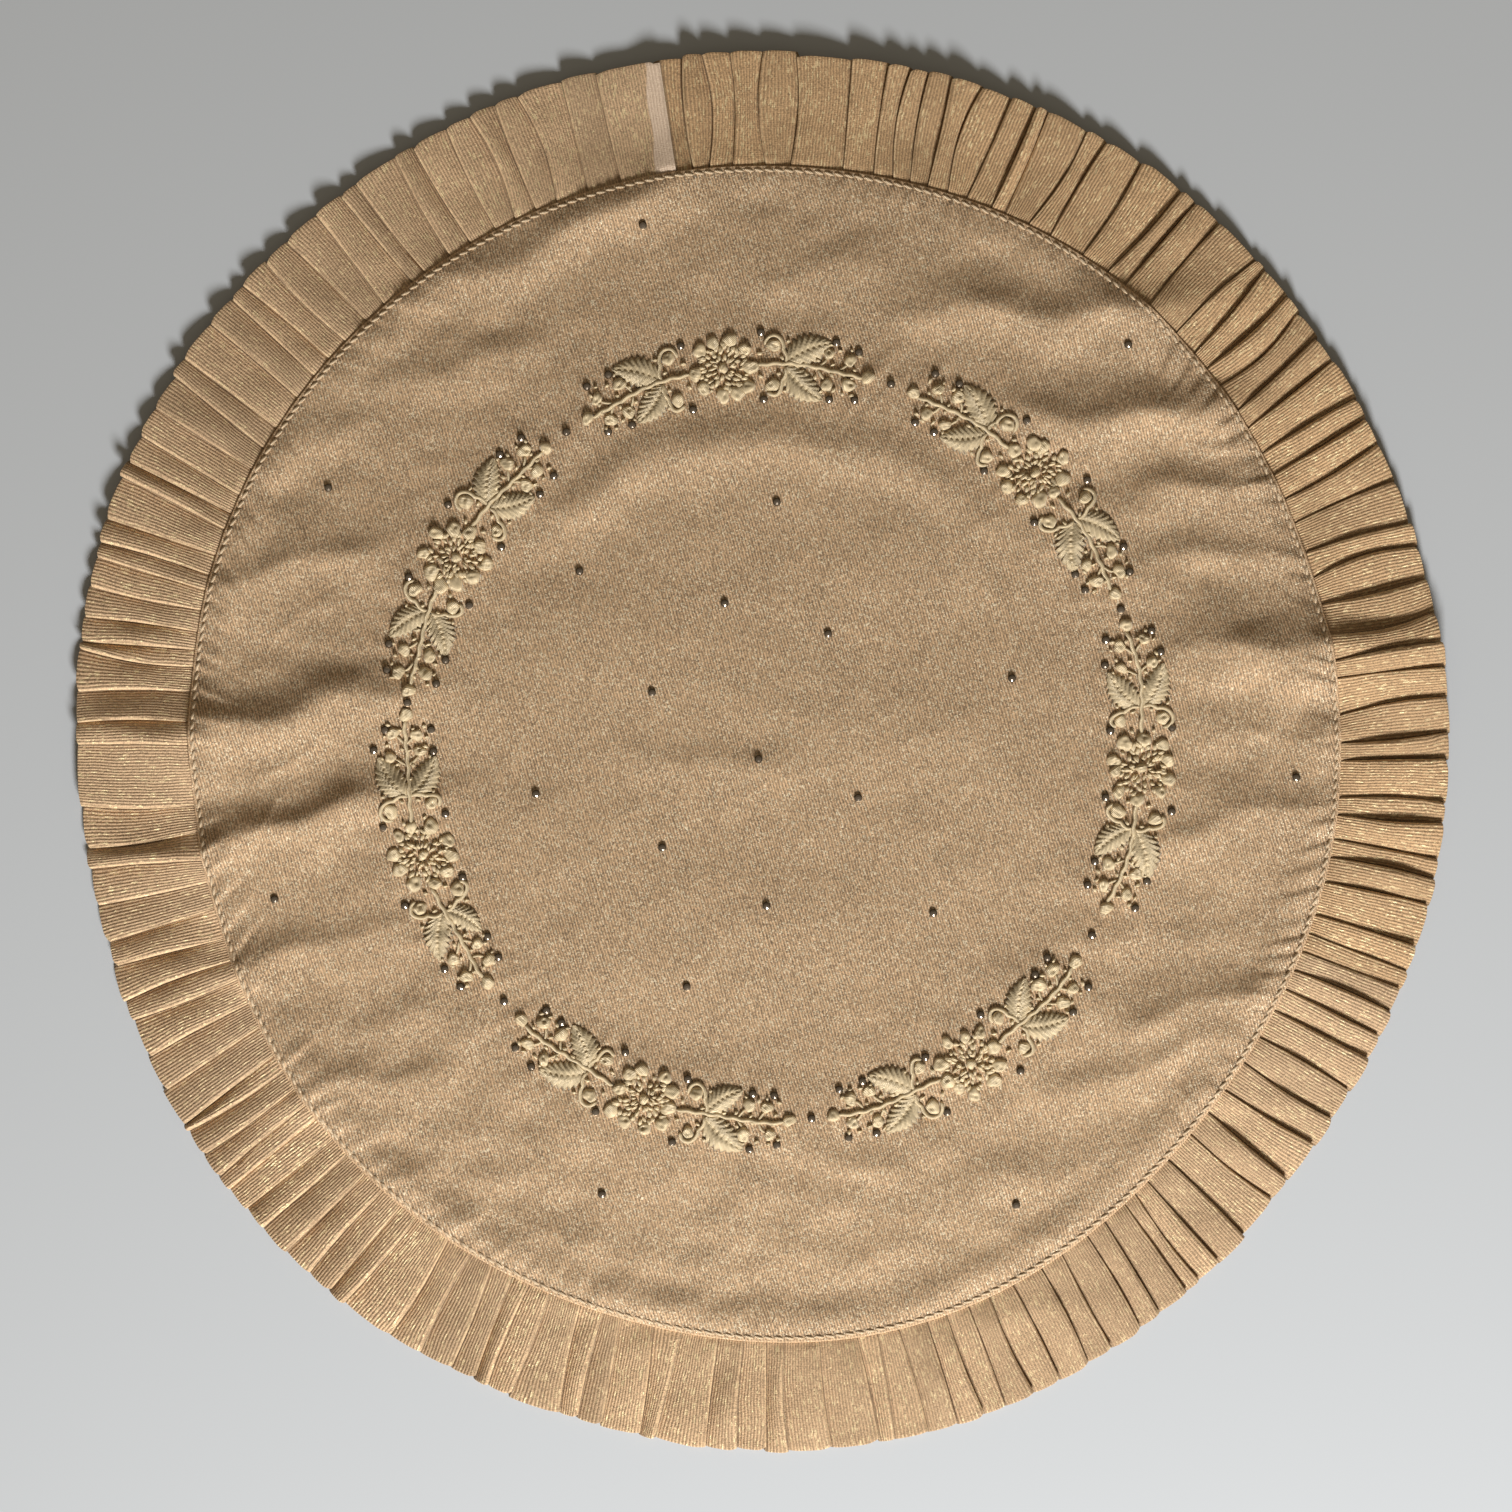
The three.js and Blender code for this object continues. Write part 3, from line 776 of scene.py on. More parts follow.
def make_backing(cloth):
    """The felt ring behind the embroidery, between the two discs."""
    low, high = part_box("embroidery_backing")
    outer = (high.x - low.x) / 2 / MM
    inner = 2 * GARLAND_RADIUS - outer
    sectors = 240
    angle = round_ring(sectors)
    across = np.linspace(inner, outer, 14)
    loop = [(radius, 0.0) for radius in across] + [(radius, 0.4) for radius in across[::-1]]
    rings = []
    for radius, rise in loop:
        x, y = (GARLAND_CENTRE[i] + radius * f(angle) for i, f in enumerate((np.cos, np.sin)))
        rings.append(np.stack([x, y, face_height(x, y) - 1.5 + rise], axis=-1))
    rings = np.stack(rings)
    quads = grid_quads(len(loop), sectors, wrap=True)
    last = np.arange(sectors) + (len(loop) - 1) * sectors
    first = np.arange(sectors)
    close = np.stack([last, np.roll(last, -1), np.roll(first, -1), first], axis=-1)
    shape = Shape()
    shape.add(rings.reshape(-1, 3), [quads, close])
    felt = plain_weave("backing_felt", cloth.felt, 0.9)
    piece = settle(shape.make("embroidery_backing_felt", felt), "stabiliser", "embroidery_backing")
    return piece


# ---- Ruffle ------------------------------------------------------------------------------

def pleat_path(edges, tucks, ply, lift, low):
    """One strip's folded path at every row, as directions and heights.

    Each pleat starts at its tuck under the one before, comes out from under that one's folded
    edge, climbs to its own folded edge in a curve, turns under through half an ellipse and
    runs back to the next tuck, which is a small half round. All arrays are (pleat, column,
    row); edges holds the folded edges' directions, tucks the depth of the folds back as
    angles, ply the spacing of the layers, lift the rise of the folded edge above three layers
    and low the height of the lowest layer.
    """
    before, own = edges[:-1, None, :], edges[1:, None, :]
    tuck_before, tuck = tucks[:-1, None, :], tucks[1:, None, :]
    lift = lift[:, None, :]
    top = low + 2 * ply + lift
    loop = ply / 2 + 0.28 * lift
    nose = 0.0028 + 0.0012 * lift

    def columns(count):
        return np.linspace(0, 1, count, endpoint=False)[None, :, None]

    hidden = columns(HIDDEN_COLUMNS)
    out = columns(TOP_COLUMNS)
    turn = columns(FOLD_COLUMNS) * math.pi
    back = columns(BACK_COLUMNS)
    small = columns(TUCK_COLUMNS) * math.pi
    still = np.zeros_like(before)
    parts = [
        (before - tuck_before * (1 - hidden), low + still * hidden),
        (before + (own - nose - before) * out, low + (top - low) * (1 - (1 - out) ** 1.7)),
        (own - nose + nose * np.sin(turn), top - loop + loop * np.cos(turn)),
        (own - nose - (tuck - nose) * back, (top - 2 * loop) * (1 - back) + (low + ply) * back),
        (own - tuck - 0.0016 * np.sin(small), low + ply / 2 + ply / 2 * np.cos(small)),
    ]
    angle = np.concatenate([a + 0 * top for a, _ in parts], axis=1)
    height = np.concatenate([z + 0 * top for _, z in parts], axis=1)
    return angle, height


def make_strip(index, settings, material, rng):
    """One strip of the ruffle: doubled cloth, folded at the rim and open inside the seam."""
    tau = settings.ply / MM
    seam_edges, rim_edges = SEAM_EDGES[index], RIM_EDGES[index]
    out = np.array([-9, -5.5, -2.5, 0, 1.2, 2.6, 4.4, 6.6, 9.2, 12, 15, 18, 21, 24, 27, 30, 32.2,
                    RUFFLE_WIDTH - tau / 2])
    share = np.clip(out / RUFFLE_WIDTH, 0, 1)[None, :]
    bow = rng.normal(0, 0.0065, seam_edges.size) * \
        (0.35 + 0.65 * np.cos(seam_edges - math.radians(55)).clip(0))
    narrow = np.minimum(np.diff(seam_edges), np.diff(rim_edges))
    bow[1:-1] = np.clip(bow[1:-1], -0.3 * narrow[:-1], 0.3 * narrow[1:])
    bow[[0, -1]] = 0
    edges = seam_edges[:, None] * (1 - share) + rim_edges[:, None] * share \
        + bow[:, None] * np.sin(math.pi * share)
    count = seam_edges.size
    depth = settings.tuck / MM / SEAM_RADIUS * (1 - share) \
        + settings.rim_tuck / MM / (SEAM_RADIUS + RUFFLE_WIDTH) * share
    tucks = depth * rng.uniform(0.8, 1.15, count)[:, None]
    own = settings.lift / MM * np.clip(rng.lognormal(-0.1, 0.5, count - 1), 0.35, 2.2)
    puff = rng.uniform(0.0, 1.5, count - 1) ** 1.5
    own[[0, -1]] = 0.25
    puff[[0, -1]] = 0
    lift = own[:, None] * share ** 0.9 + puff[:, None] * np.sin(math.pi * share) ** 1.4
    spacing = (SEAM_LAYER + (RUFFLE_LAYER - SEAM_LAYER) * share)[:, None, :]
    low = (1.15 * (1 - ease(share, 0, 0.5)) + 0.30 * ease(share, 0, 0.5))[:, None, :]
    angle, height = pleat_path(edges, tucks, spacing, lift, low)
    if index == 0:
        # This strip's raw end laps over the last one's, and settles within its first pleat.
        angle[0, :HIDDEN_COLUMNS] = edges[0] - np.array([[2.4], [1.6], [0.8]]) / SEAM_RADIUS
        settled = ease((angle[0] - edges[0]) * SEAM_RADIUS, -1.0, 7.0)
        height[0] += (2 * spacing[0] + 1.1 - (height[0] - low[0]).clip(0)) * (1 - settled)
    # fold_near and gap_near: distances to a pleat's own folded edge and to the one before. They
    # place the painted highlight along the folded edges and the painted shade in the gaps; the
    # first pleat gets no painted shade.
    fold_near = (edges[1:, None, :] - angle) * SEAM_RADIUS
    gap_near = (angle - edges[:-1, None, :]) * SEAM_RADIUS
    gap_near[0] = 9.0
    if index == STRIP_COUNT - 1:
        # The first strip's raw end lies over this one's last pleat, and painted shade is laid
        # along that end.
        gap_near[-1] = np.minimum(gap_near[-1], fold_near[-1] - 2.4)
    pleats, columns, rows = angle.shape
    wave = rng.uniform(0, TAU, (pleats, 1, 1))
    column_share = np.linspace(0, 1, columns)[None, :, None]
    height = height + 0.28 * share[None] * np.sin(share[None] * 7 + wave) * \
        np.sin(math.pi * column_share)
    lean = np.clip((rim_edges - seam_edges) * (SEAM_RADIUS + RUFFLE_WIDTH) / RUFFLE_WIDTH,
                   -0.25, 0.25)
    lean = 0.5 * (lean[1:] + lean[:-1])
    jitter = rng.normal(0, 0.3, pleats)
    rounding = rng.uniform(0.2, 1.3, pleats)

    def rim_reach(which):
        """How far the rim of the given pleats stands out: by a random part and by the way that
        they lean, less the rounding of both corners."""
        start, end = edges[which][:, None, :], edges[which + 1][:, None, :]
        place = (angle - start) / (end - start)
        corner = 0.9 * ((place - 0.7) / 0.3).clip(0, 1) ** 2 + \
            0.3 * ((0.3 - place) / 0.3).clip(0, 1) ** 2
        corner = corner * rounding[which, None, None]
        step = (angle - 0.5 * (start + end)).clip(start - end, end - start) * SEAM_RADIUS
        return jitter[which, None, None] - step * lean[which, None, None] - corner

    own_reach, column = rim_reach(np.arange(pleats)), np.arange(columns)[None, :, None]
    last_reach = rim_reach(np.maximum(np.arange(pleats) - 1, 0))
    hidden, under = column < HIDDEN_COLUMNS, column > 17
    reach = np.where(hidden, last_reach, own_reach) - 0.6 * (hidden | under)
    reach = reach * share[None] ** 2
    angle = angle.reshape(-1, rows)
    height = height.reshape(-1, rows)
    reach = reach.reshape(-1, rows)
    radius = seam_radius(angle) + np.where(out < 0, out, share * ruffle_width(angle)
                                           - (out >= 0) * share * tau / 2) + reach
    x, y = polar(radius, angle)
    ground = fold_height(x, y) * 0.85 + (ripple_height(x, y) + 0.1) * (1 - share) * (out >= -4)
    swell = share ** 1.4 * (1.0 + 1.4 * np.sin(angle) + 0.6 * np.sin(angle * 5 + 0.5)).clip(0)
    height = height + ground + swell
    under_face = face_height(x, y) - 0.95
    height = np.where(out <= 0, np.minimum(height, under_face), height)
    mid = np.stack([x, y, height], axis=-1)
    along = np.gradient(mid, axis=0)
    across = np.gradient(mid, axis=1)
    normal = np.cross(across, along)
    normal /= np.linalg.norm(normal, axis=-1, keepdims=True) + 1e-9
    across /= np.linalg.norm(across, axis=-1, keepdims=True) + 1e-9
    outer = mid + normal * tau / 2
    inner = (mid - normal * tau / 2)[:, ::-1]
    rim = [mid[:, -1] + tau / 2 * (math.sin(a) * across[:, -1] + math.cos(a) * normal[:, -1])
           for a in np.radians((36, 72, 108, 144))]
    sheet = np.concatenate([outer, np.stack(rim, axis=1), inner], axis=1)
    steps = np.linalg.norm(np.diff(mid, axis=0), axis=-1)[:, 3:].mean(1)
    u = np.concatenate([[0], np.cumsum(steps)])
    v = np.concatenate([out, RUFFLE_WIDTH + np.arange(-1.5, 2) * tau / 4,
                        2 * RUFFLE_WIDTH - out[::-1]])
    uv = np.stack(np.broadcast_arrays(u[:, None], v[None, :]), axis=-1)
    shape = Shape()
    quads = grid_quads(sheet.shape[0], sheet.shape[1])[:, ::-1]
    lower = np.arange(sheet.shape[1] // 2 - 1)
    upper = sheet.shape[1] - 1 - lower
    end = np.stack([lower, lower + 1, upper - 1, upper], axis=-1)
    shape.add(sheet.reshape(-1, 3), [quads, end], uv.reshape(-1, 2))
    bare = np.full(uv.shape[:2], -5.0)
    if index == 0:
        bare = 6.6 - 2.4 * np.clip(v / RUFFLE_WIDTH, 0, 1)[None, :] - u[:, None] \
            + 0.35 * np.sin(v * 0.33 + 0.5)[None, :] + 0.12 * np.sin(v * 1.9)[None, :]
    marks = {"selvedge": bare}
    # tone: each pleat's random share of painted shade and glint
    tone = np.broadcast_to(rng.uniform(0, 1, (pleats, 1, 1)), (pleats, columns, rows))
    cut = np.full((pleats, columns, rows), STRIP_TONES[index])
    for mark, values in (("fold_near", fold_near), ("gap_near", gap_near), ("tone", tone),
                         ("cut", cut)):
        values = values.reshape(-1, rows)
        marks[mark] = np.concatenate([values, np.repeat(values[:, -1:], 4, axis=1),
                                      values[:, ::-1]], axis=1)
    name = f"ruffle_strip_{index + 1}"
    piece = settle(shape.make(name + "_cloth", material, marks=marks), "ruffle_cloth", name)
    return piece


# ---- Embroidery --------------------------------------------------------------------------

def pad_shape(sectors, levels):
    """A unit padded satin stitch: a flat-topped dome z = (1 - r^3)^0.5 with steep sides and a
    sunk base. Returns points (n, 3) with z from -0.25 to 1, and faces."""
    levels = np.array(levels)
    angle = round_ring(sectors)
    z = np.concatenate([(1 - levels ** 3) ** 0.5, [-0.25]])
    radii = np.concatenate([levels, [0.96]])
    rings = np.stack([radii[:, None] * np.cos(angle), radii[:, None] * np.sin(angle),
                      z[:, None] + 0 * angle], axis=-1)
    rows = len(radii)
    points = np.concatenate([rings.reshape(-1, 3), [[0, 0, 1], [0, 0, -0.25]]])
    first = np.arange(sectors)
    quads = grid_quads(rows, sectors, wrap=True)[:, ::-1]
    faces = [quads, fan(first, rows * sectors), fan(first + (rows - 1) * sectors,
                                                    rows * sectors + 1, flip=True)]
    return points, faces


SMALL_PAD = pad_shape(10, (0.5, 0.85, 1.0))
LARGE_PAD = pad_shape(20, (0.2, 0.4, 0.6, 0.78, 0.92, 1.0))


def add_pad(shape, centre, size, turn, height, tip=0.0, dent=0.0):
    """A padded stitch at centre (x, y): size (along, across) half lengths, turned by an angle,
    lying on the cloth, its top tipped towards the end of its length. Its outline is a circle
    with a few small waves; dent presses a hollow into it, a bell a third of the way out."""
    pad, faces = LARGE_PAD if size[0] > 1.35 else SMALL_PAD
    c, s = math.cos(turn), math.sin(turn)
    seed = 12.99 * centre[0] + 78.23 * centre[1]
    around = np.arctan2(pad[:, 1], pad[:, 0])
    wave = 1 + 0.09 * np.sin(2 * around + seed) + 0.07 * np.sin(3 * around + 1.7 * seed) \
        + 0.05 * np.sin(5 * around + 2.3 * seed)
    local = pad[:, :2] * wave[:, None] * np.asarray(size)
    x = centre[0] + local[:, 0] * c - local[:, 1] * s
    y = centre[1] + local[:, 0] * s + local[:, 1] * c
    hollow = 0.34 * np.array([math.cos(seed), math.sin(seed)])
    away = ((pad[:, 0] - hollow[0]) ** 2 + (pad[:, 1] - hollow[1]) ** 2) / 0.12
    stitches = 0.06 * np.sin(9 * (pad[:, 0] * math.cos(3 * seed) + pad[:, 1] * math.sin(3 * seed)))
    hollowed = dent * np.exp(-away)
    top = pad[:, 2].clip(0) * (1 + tip * pad[:, 0] + stitches - hollowed)
    z = face_height(x, y) + top * height + pad[:, 2].clip(None, 0)
    # Painted shade on the pad's low sides and in its hollow.
    foot = (1 - pad[:, 2] / 0.5).clip(0, 1) + 0.6 * hollowed
    shape.add(np.stack([x, y, z], axis=-1), faces, local + np.asarray(centre), foot)


def add_cord(shape, path, width, height, around=8):
    """A couched cord along a path of (x, y) points: a low half-round section that narrows to a
    pole at each end. The UV turns its stitches aslant."""
    path = np.asarray(path, float)
    along = np.gradient(path, axis=0)
    along /= np.linalg.norm(along, axis=1, keepdims=True)
    side = np.stack([-along[:, 1], along[:, 0]], axis=-1)
    count = len(path)
    t = np.linspace(0, 1, count)
    taper = np.clip(np.minimum(t, 1 - t) * count * 0.45 + 0.35, 0, 1)
    angle = round_ring(around)
    offset = np.cos(angle)[None, :] * taper[:, None] * width / 2
    rise = np.sin(angle)[None, :] * taper[:, None]
    x = path[:, 0, None] + side[:, 0, None] * offset
    y = path[:, 1, None] + side[:, 1, None] * offset
    z = face_height(x, y) + np.where(rise > 0, rise * height, rise * 0.2)
    length = np.concatenate([[0], np.cumsum(np.linalg.norm(np.diff(path, axis=0), axis=1))])
    uv = np.stack([offset, length[:, None] + offset * 0.8], axis=-1)
    # Painted shade along the cord's low sides.
    foot = (1 - np.sin(angle) / 0.6).clip(0, 1) * np.ones((count, 1))
    loft(shape, np.stack([x, y, z], axis=-1)[:, ::-1], uv[:, ::-1], foot[:, ::-1])


def add_leaf(shape, base, tip, height, bend):
    """A leaf of slanted satin stitches: widest before its middle, edge and top cut into steps
    by the ribs, which lean towards the tip."""
    base, tip = np.asarray(base, float), np.asarray(tip, float)
    axis = tip - base
    length = np.linalg.norm(axis)
    axis /= length
    side = np.array([-axis[1], axis[0]])
    rows, top, under = 64, 14, 3
    t = np.linspace(0.015, 0.985, rows)[:, None]
    across = np.concatenate([np.linspace(1, -1, top), np.linspace(-0.6, 0.6, under)])[None, :]
    is_top = (np.arange(top + under) < top)[None, :]
    ribs = 8.5
    lag = t * ribs - np.abs(across) * 3.3 + 1.0 * across ** 2
    groove = (0.5 + 0.5 * np.cos(TAU * lag)) ** 1.5
    half = 0.285 * length * np.sin(math.pi * t ** 0.8) ** 0.7
    half = half * (1 + 0.30 * (0.5 - groove) * np.abs(across))
    centre = base[None, None] + axis * (t[..., None] * length) \
        + side * (bend * np.sin(math.pi * t)[..., None])
    points = centre + side * (across * half)[..., None]
    dome = (1 - np.abs(across) ** 2.4).clip(0) ** 0.6
    dome = dome * np.sin(math.pi * t.clip(0.06, 0.94)) ** 0.45
    vein = 0.42 * np.exp(-(across / 0.13) ** 2)
    z = face_height(points[..., 0], points[..., 1])
    z = z + np.where(is_top, height * dome * (0.82 - vein) + 0.6 * (0.4 - groove) * dome, -0.25)
    rings = np.concatenate([points, z[..., None]], axis=-1)
    uv = np.stack([across * half, t * length - np.abs(across * half) * 0.8], axis=-1)
    # Painted shade in the grooves between the ribs, at the low edges and on the underside.
    foot = np.where(is_top, 0.4 * groove + (1 - dome / 0.3).clip(0), 1).clip(0, 1)
    loft(shape, rings, uv, foot)


def flower_centres():
    """Middles of the seven flowers in the frame, with their polar places on the garland."""
    points = np.array([middle(f"flower_{k + 1}")[:2] for k in range(FLOWER_COUNT)])
    away = points - GARLAND_CENTRE
    return points, np.hypot(*away.T), np.arctan2(away[:, 1], away[:, 0])


FLOWER_POINTS, FLOWER_RADII, FLOWER_ANGLES = flower_centres()


def garland_point(k, side, along, aside):
    """A point along the garland from flower k towards the next one (side 1) or the one before
    (side -1), and aside, outwards when positive. along and aside may be arrays."""
    other = (k + side) % FLOWER_COUNT
    turn = ((FLOWER_ANGLES[other] - FLOWER_ANGLES[k]) * side) % TAU * side
    share = np.asarray(along, float) / (abs(turn) * GARLAND_RADIUS)
    radius = FLOWER_RADII[k] + (FLOWER_RADII[other] - FLOWER_RADII[k]) * share + aside
    angle = FLOWER_ANGLES[k] + turn * share
    return np.stack([GARLAND_CENTRE[0] + radius * np.cos(angle),
                     GARLAND_CENTRE[1] + radius * np.sin(angle)], axis=-1)


def stitched(shape, node, material):
    """The embroidered piece that stands for a CAD node."""
    # foot carries the painted shade of the stitches' feet, grooves and hollows.
    piece = shape.make(node + "_stitching", material, marks={"foot": shape.foot()})
    return settle(piece, "thread", node)


def make_flower(k, settings, material, rng):
    """A flower: plump petals round a button, with rays of long beads between them in two
    staggered rings, each bead a little out of place."""
    height = settings.height / MM
    centre = FLOWER_POINTS[k]
    shape = Shape()
    pitch = TAU / settings.petals

    def bead(angle, reach, size, rise):
        angle = angle + rng.normal(0, 0.08)
        out = np.array([math.cos(angle), math.sin(angle)])
        size = np.asarray(size) * rng.uniform(0.8, 1.2, 2)
        add_pad(shape, centre + out * (reach + rng.normal(0, 0.25)), size,
                angle + rng.normal(0, 0.3), height * rise * rng.uniform(0.75, 1.1))

    for i in range(settings.petals):
        angle = FLOWER_ANGLES[k] + (i + 0.5) * pitch + rng.normal(0, 0.07)
        out = np.array([math.cos(angle), math.sin(angle)])
        aside = np.array([-out[1], out[0]])
        reach = 8.9 + rng.normal(0, 0.5)
        size = rng.uniform(2.0, 2.6)
        head = centre + out * reach
        add_pad(shape, head, (size, size * rng.uniform(0.8, 1.0)), angle + rng.normal(0, 0.5),
                height * rng.uniform(0.9, 1.15), rng.uniform(-0.2, 0.3), rng.uniform(0.1, 0.6))
        for way in (-1, 1):
            if rng.uniform() < 0.75:
                lobe = head - out * size * rng.uniform(0.7, 1.1) + aside * way * size * 0.6
                add_pad(shape, lobe, (size * rng.uniform(0.4, 0.62), size * 0.34),
                        angle + way * rng.uniform(0.2, 1.0), height * 0.8)
        bead(angle, 3.5, (1.25, 0.62), 0.8)
        bead(angle, 5.9, (1.2, 0.58), 0.75)
        bead(angle + pitch / 2, 2.9, (0.9, 0.5), 0.85)
        bead(angle + pitch / 2, 5.0, (1.3, 0.66), 0.9)
        if rng.uniform() < 0.6:
            bead(angle + pitch / 2, 7.2, (0.85, 0.6), 0.7)
    add_pad(shape, centre, (1.75, 1.45), FLOWER_ANGLES[k] + rng.normal(0, 0.5), height * 1.05)
    return stitched(shape, f"flower_{k + 1}", material)


def make_sprig(k, side, settings, material, rng):
    """A sprig: a couched stem with two curls that each hold a berry, a pair of leaves, two
    pairs of berries with knots round them, and a berry at its tip."""
    height = settings.height / MM
    shape = Shape()

    def at(along, aside):
        return garland_point(k, side, along, aside)

    def berry(along, aside, size, dent=0.3):
        add_pad(shape, at(along, aside), (size, size * rng.uniform(0.82, 1.0)),
                rng.uniform(0, TAU), height * rng.uniform(0.9, 1.15), rng.uniform(0, 0.3),
                dent * rng.uniform(0.3, 1.6))

    def knot(along, aside, size=0.8):
        add_pad(shape, at(along + rng.normal(0, 0.3), aside + rng.normal(0, 0.3)),
                (size * rng.uniform(0.9, 1.3), size * 0.72), rng.uniform(0, TAU), height * 0.72)

    t = np.linspace(0, 1, 38)
    add_cord(shape, at(10.0 + 33.0 * t, 0.6 * np.sin(t * 5.2 + k) + 0.2 * np.sin(t * 44)),
             1.45, height * 0.8)
    for way in (1, -1):
        along, aside = 14.9 + rng.normal(0, 0.5), 6.2 + rng.normal(0, 0.4)
        size = rng.uniform(2.0, 2.4)
        berry(along, way * aside, size, 0.4)
        # The curl leaves the stem beyond the berry, passes under its outer side and hooks back.
        turn = np.linspace(0, 1, 18)
        angle = math.radians(-25) + turn * math.radians(rng.uniform(150, 220))
        reach = size + 0.8 - 0.3 * turn + 0.22 * np.sin(turn * 9 + along)
        hook_along = along + reach * np.cos(angle)
        hook_aside = aside + reach * np.sin(angle)
        root = np.linspace(0, 1, 7)[:-1]
        lead_along = 18.6 + (hook_along[0] - 18.6) * root + 0.9 * np.sin(math.pi * root)
        lead_aside = 0.3 + (hook_aside[0] - 0.3) * root
        path = at(np.concatenate([lead_along, hook_along]),
                  way * np.concatenate([lead_aside, hook_aside]))
        add_cord(shape, path, 1.4, height * 0.75)
        knot(11.4, way * 3.4)
        knot(17.6, way * 2.6)
        knot(19.4, way * 7.6, 0.7)
        tip_along, tip_aside = 31.0 + rng.normal(0, 0.6), 8.8 + rng.normal(0, 0.6)
        add_leaf(shape, at(18.8, way * 0.8), at(tip_along, way * tip_aside), height * 1.1,
                 way * side * -1.0)
        for pair_along, pair_aside in ((31.8, 4.4), (38.2, 3.9)):
            spot = np.array([pair_along + rng.normal(0, 0.4), pair_aside + rng.normal(0, 0.3)])
            berry(spot[0], way * spot[1], rng.uniform(1.9, 2.35), 0.4)
            foot = at(pair_along - 3.2, way * 0.2)
            reach = at(*(spot * (1, way))) - foot
            bow = np.array([-reach[1], reach[0]]) * rng.uniform(-0.2, 0.2)
            t = np.linspace(0, 0.75, 6)[:, None]
            add_cord(shape, foot + reach * t + bow * np.sin(math.pi * t), 0.95, height * 0.6)
            knot(pair_along + 2.6, way * (pair_aside + 1.7))
            knot(pair_along - 0.6, way * (pair_aside + 2.8), 0.65)
            knot(pair_along + 1.4, way * 1.5, 0.7)
        knot(24.8, way * 1.8, 0.9)
        knot(28.6, way * 2.2, 0.8)
    berry(44.2, 0, 2.15)
    return stitched(shape, f"sprig_{k + 1}_{'after' if side > 0 else 'before'}", material)


def make_topstitch(material):
    """The topstitching: one short plump stitch of thread after another along the disc's edge,
    each a little aslant and dipping into the cloth at both ends."""
    pitch = TAU / STITCH_COUNT
    rows, around = 7, 6
    t = np.linspace(0, 1, rows)
    angle = np.arange(STITCH_COUNT)[:, None] * pitch + pitch * (0.04 + 0.92 * t)
    path_radius = seam_radius(angle) - STITCH_INSET + 0.55 * (t - 0.5)
    thick = 0.50 * np.sin(math.pi * (0.05 + 0.90 * t)) ** 0.35
    turn = round_ring(around)
    r = path_radius[..., None] + thick[None, :, None] * np.cos(turn)
    x, y = polar(r, angle[..., None])
    bed = face_height(*polar(path_radius, angle))[..., None]
    arch = (0.24 * np.sin(math.pi * t) - 0.16)[None, :, None]
    z = bed + arch + thick[None, :, None] * np.sin(turn)
    shape = Shape()
    along = t[:, None] * pitch * SEAM_RADIUS
    uv = np.stack([thick[:, None] * np.cos(turn), along + thick[:, None] * np.cos(turn)], axis=-1)
    rings = np.stack([x, y, z], axis=-1)
    for stitch in rings:
        loft(shape, stitch, uv)
    return settle(shape.make("topstitch_thread_stitches", material), "thread", "topstitch_thread")


# ---- Stones ------------------------------------------------------------------------------

def stone_parts(radius):
    """A cup and its stone as points and flat faces: the cup is a low ten-sided bowl with a rim,
    the stone has a girdle, a ring of star facets and a flat table."""
    def ring(r, z, sides, turn=0.0):
        angle = (np.arange(sides) + turn) * TAU / sides
        return np.stack([r * np.cos(angle), r * np.sin(angle), np.full(sides, z)], axis=-1)

    sides = 10
    cup = np.concatenate([ring(radius * 0.92, -0.15, sides), ring(radius, 0.35, sides),
                          ring(radius * 0.97, 0.72, sides), ring(radius * 0.82, 0.78, sides),
                          ring(radius * 0.80, 0.5, sides), [[0, 0, -0.15], [0, 0, 0.5]]])
    cup_faces = [grid_quads(5, sides, wrap=True), fan(np.arange(sides), 5 * sides, flip=True),
                 fan(np.arange(sides) + 4 * sides, 5 * sides + 1)]
    facets = 12
    gem = np.concatenate([ring(radius * 0.84, 0.62, facets),
                          ring(radius * 0.76, 0.92, facets, 0.5),
                          ring(radius * 0.34, 1.22, facets), [[0, 0, 0.4], [0, 0, 1.22]]])
    girdle, star, table = (np.arange(facets) + facets * i for i in range(3))
    after = np.roll(star, -1)
    gem_faces = [np.stack([girdle, np.roll(girdle, -1), star], axis=-1),
                 np.stack([np.roll(girdle, -1), after, star], axis=-1),
                 np.stack([star, np.roll(table, -1), table], axis=-1),
                 np.stack([star, after, np.roll(table, -1)], axis=-1),
                 fan(table, 3 * facets + 1), fan(girdle, 3 * facets, flip=True)]
    return (cup, cup_faces), (gem, gem_faces)


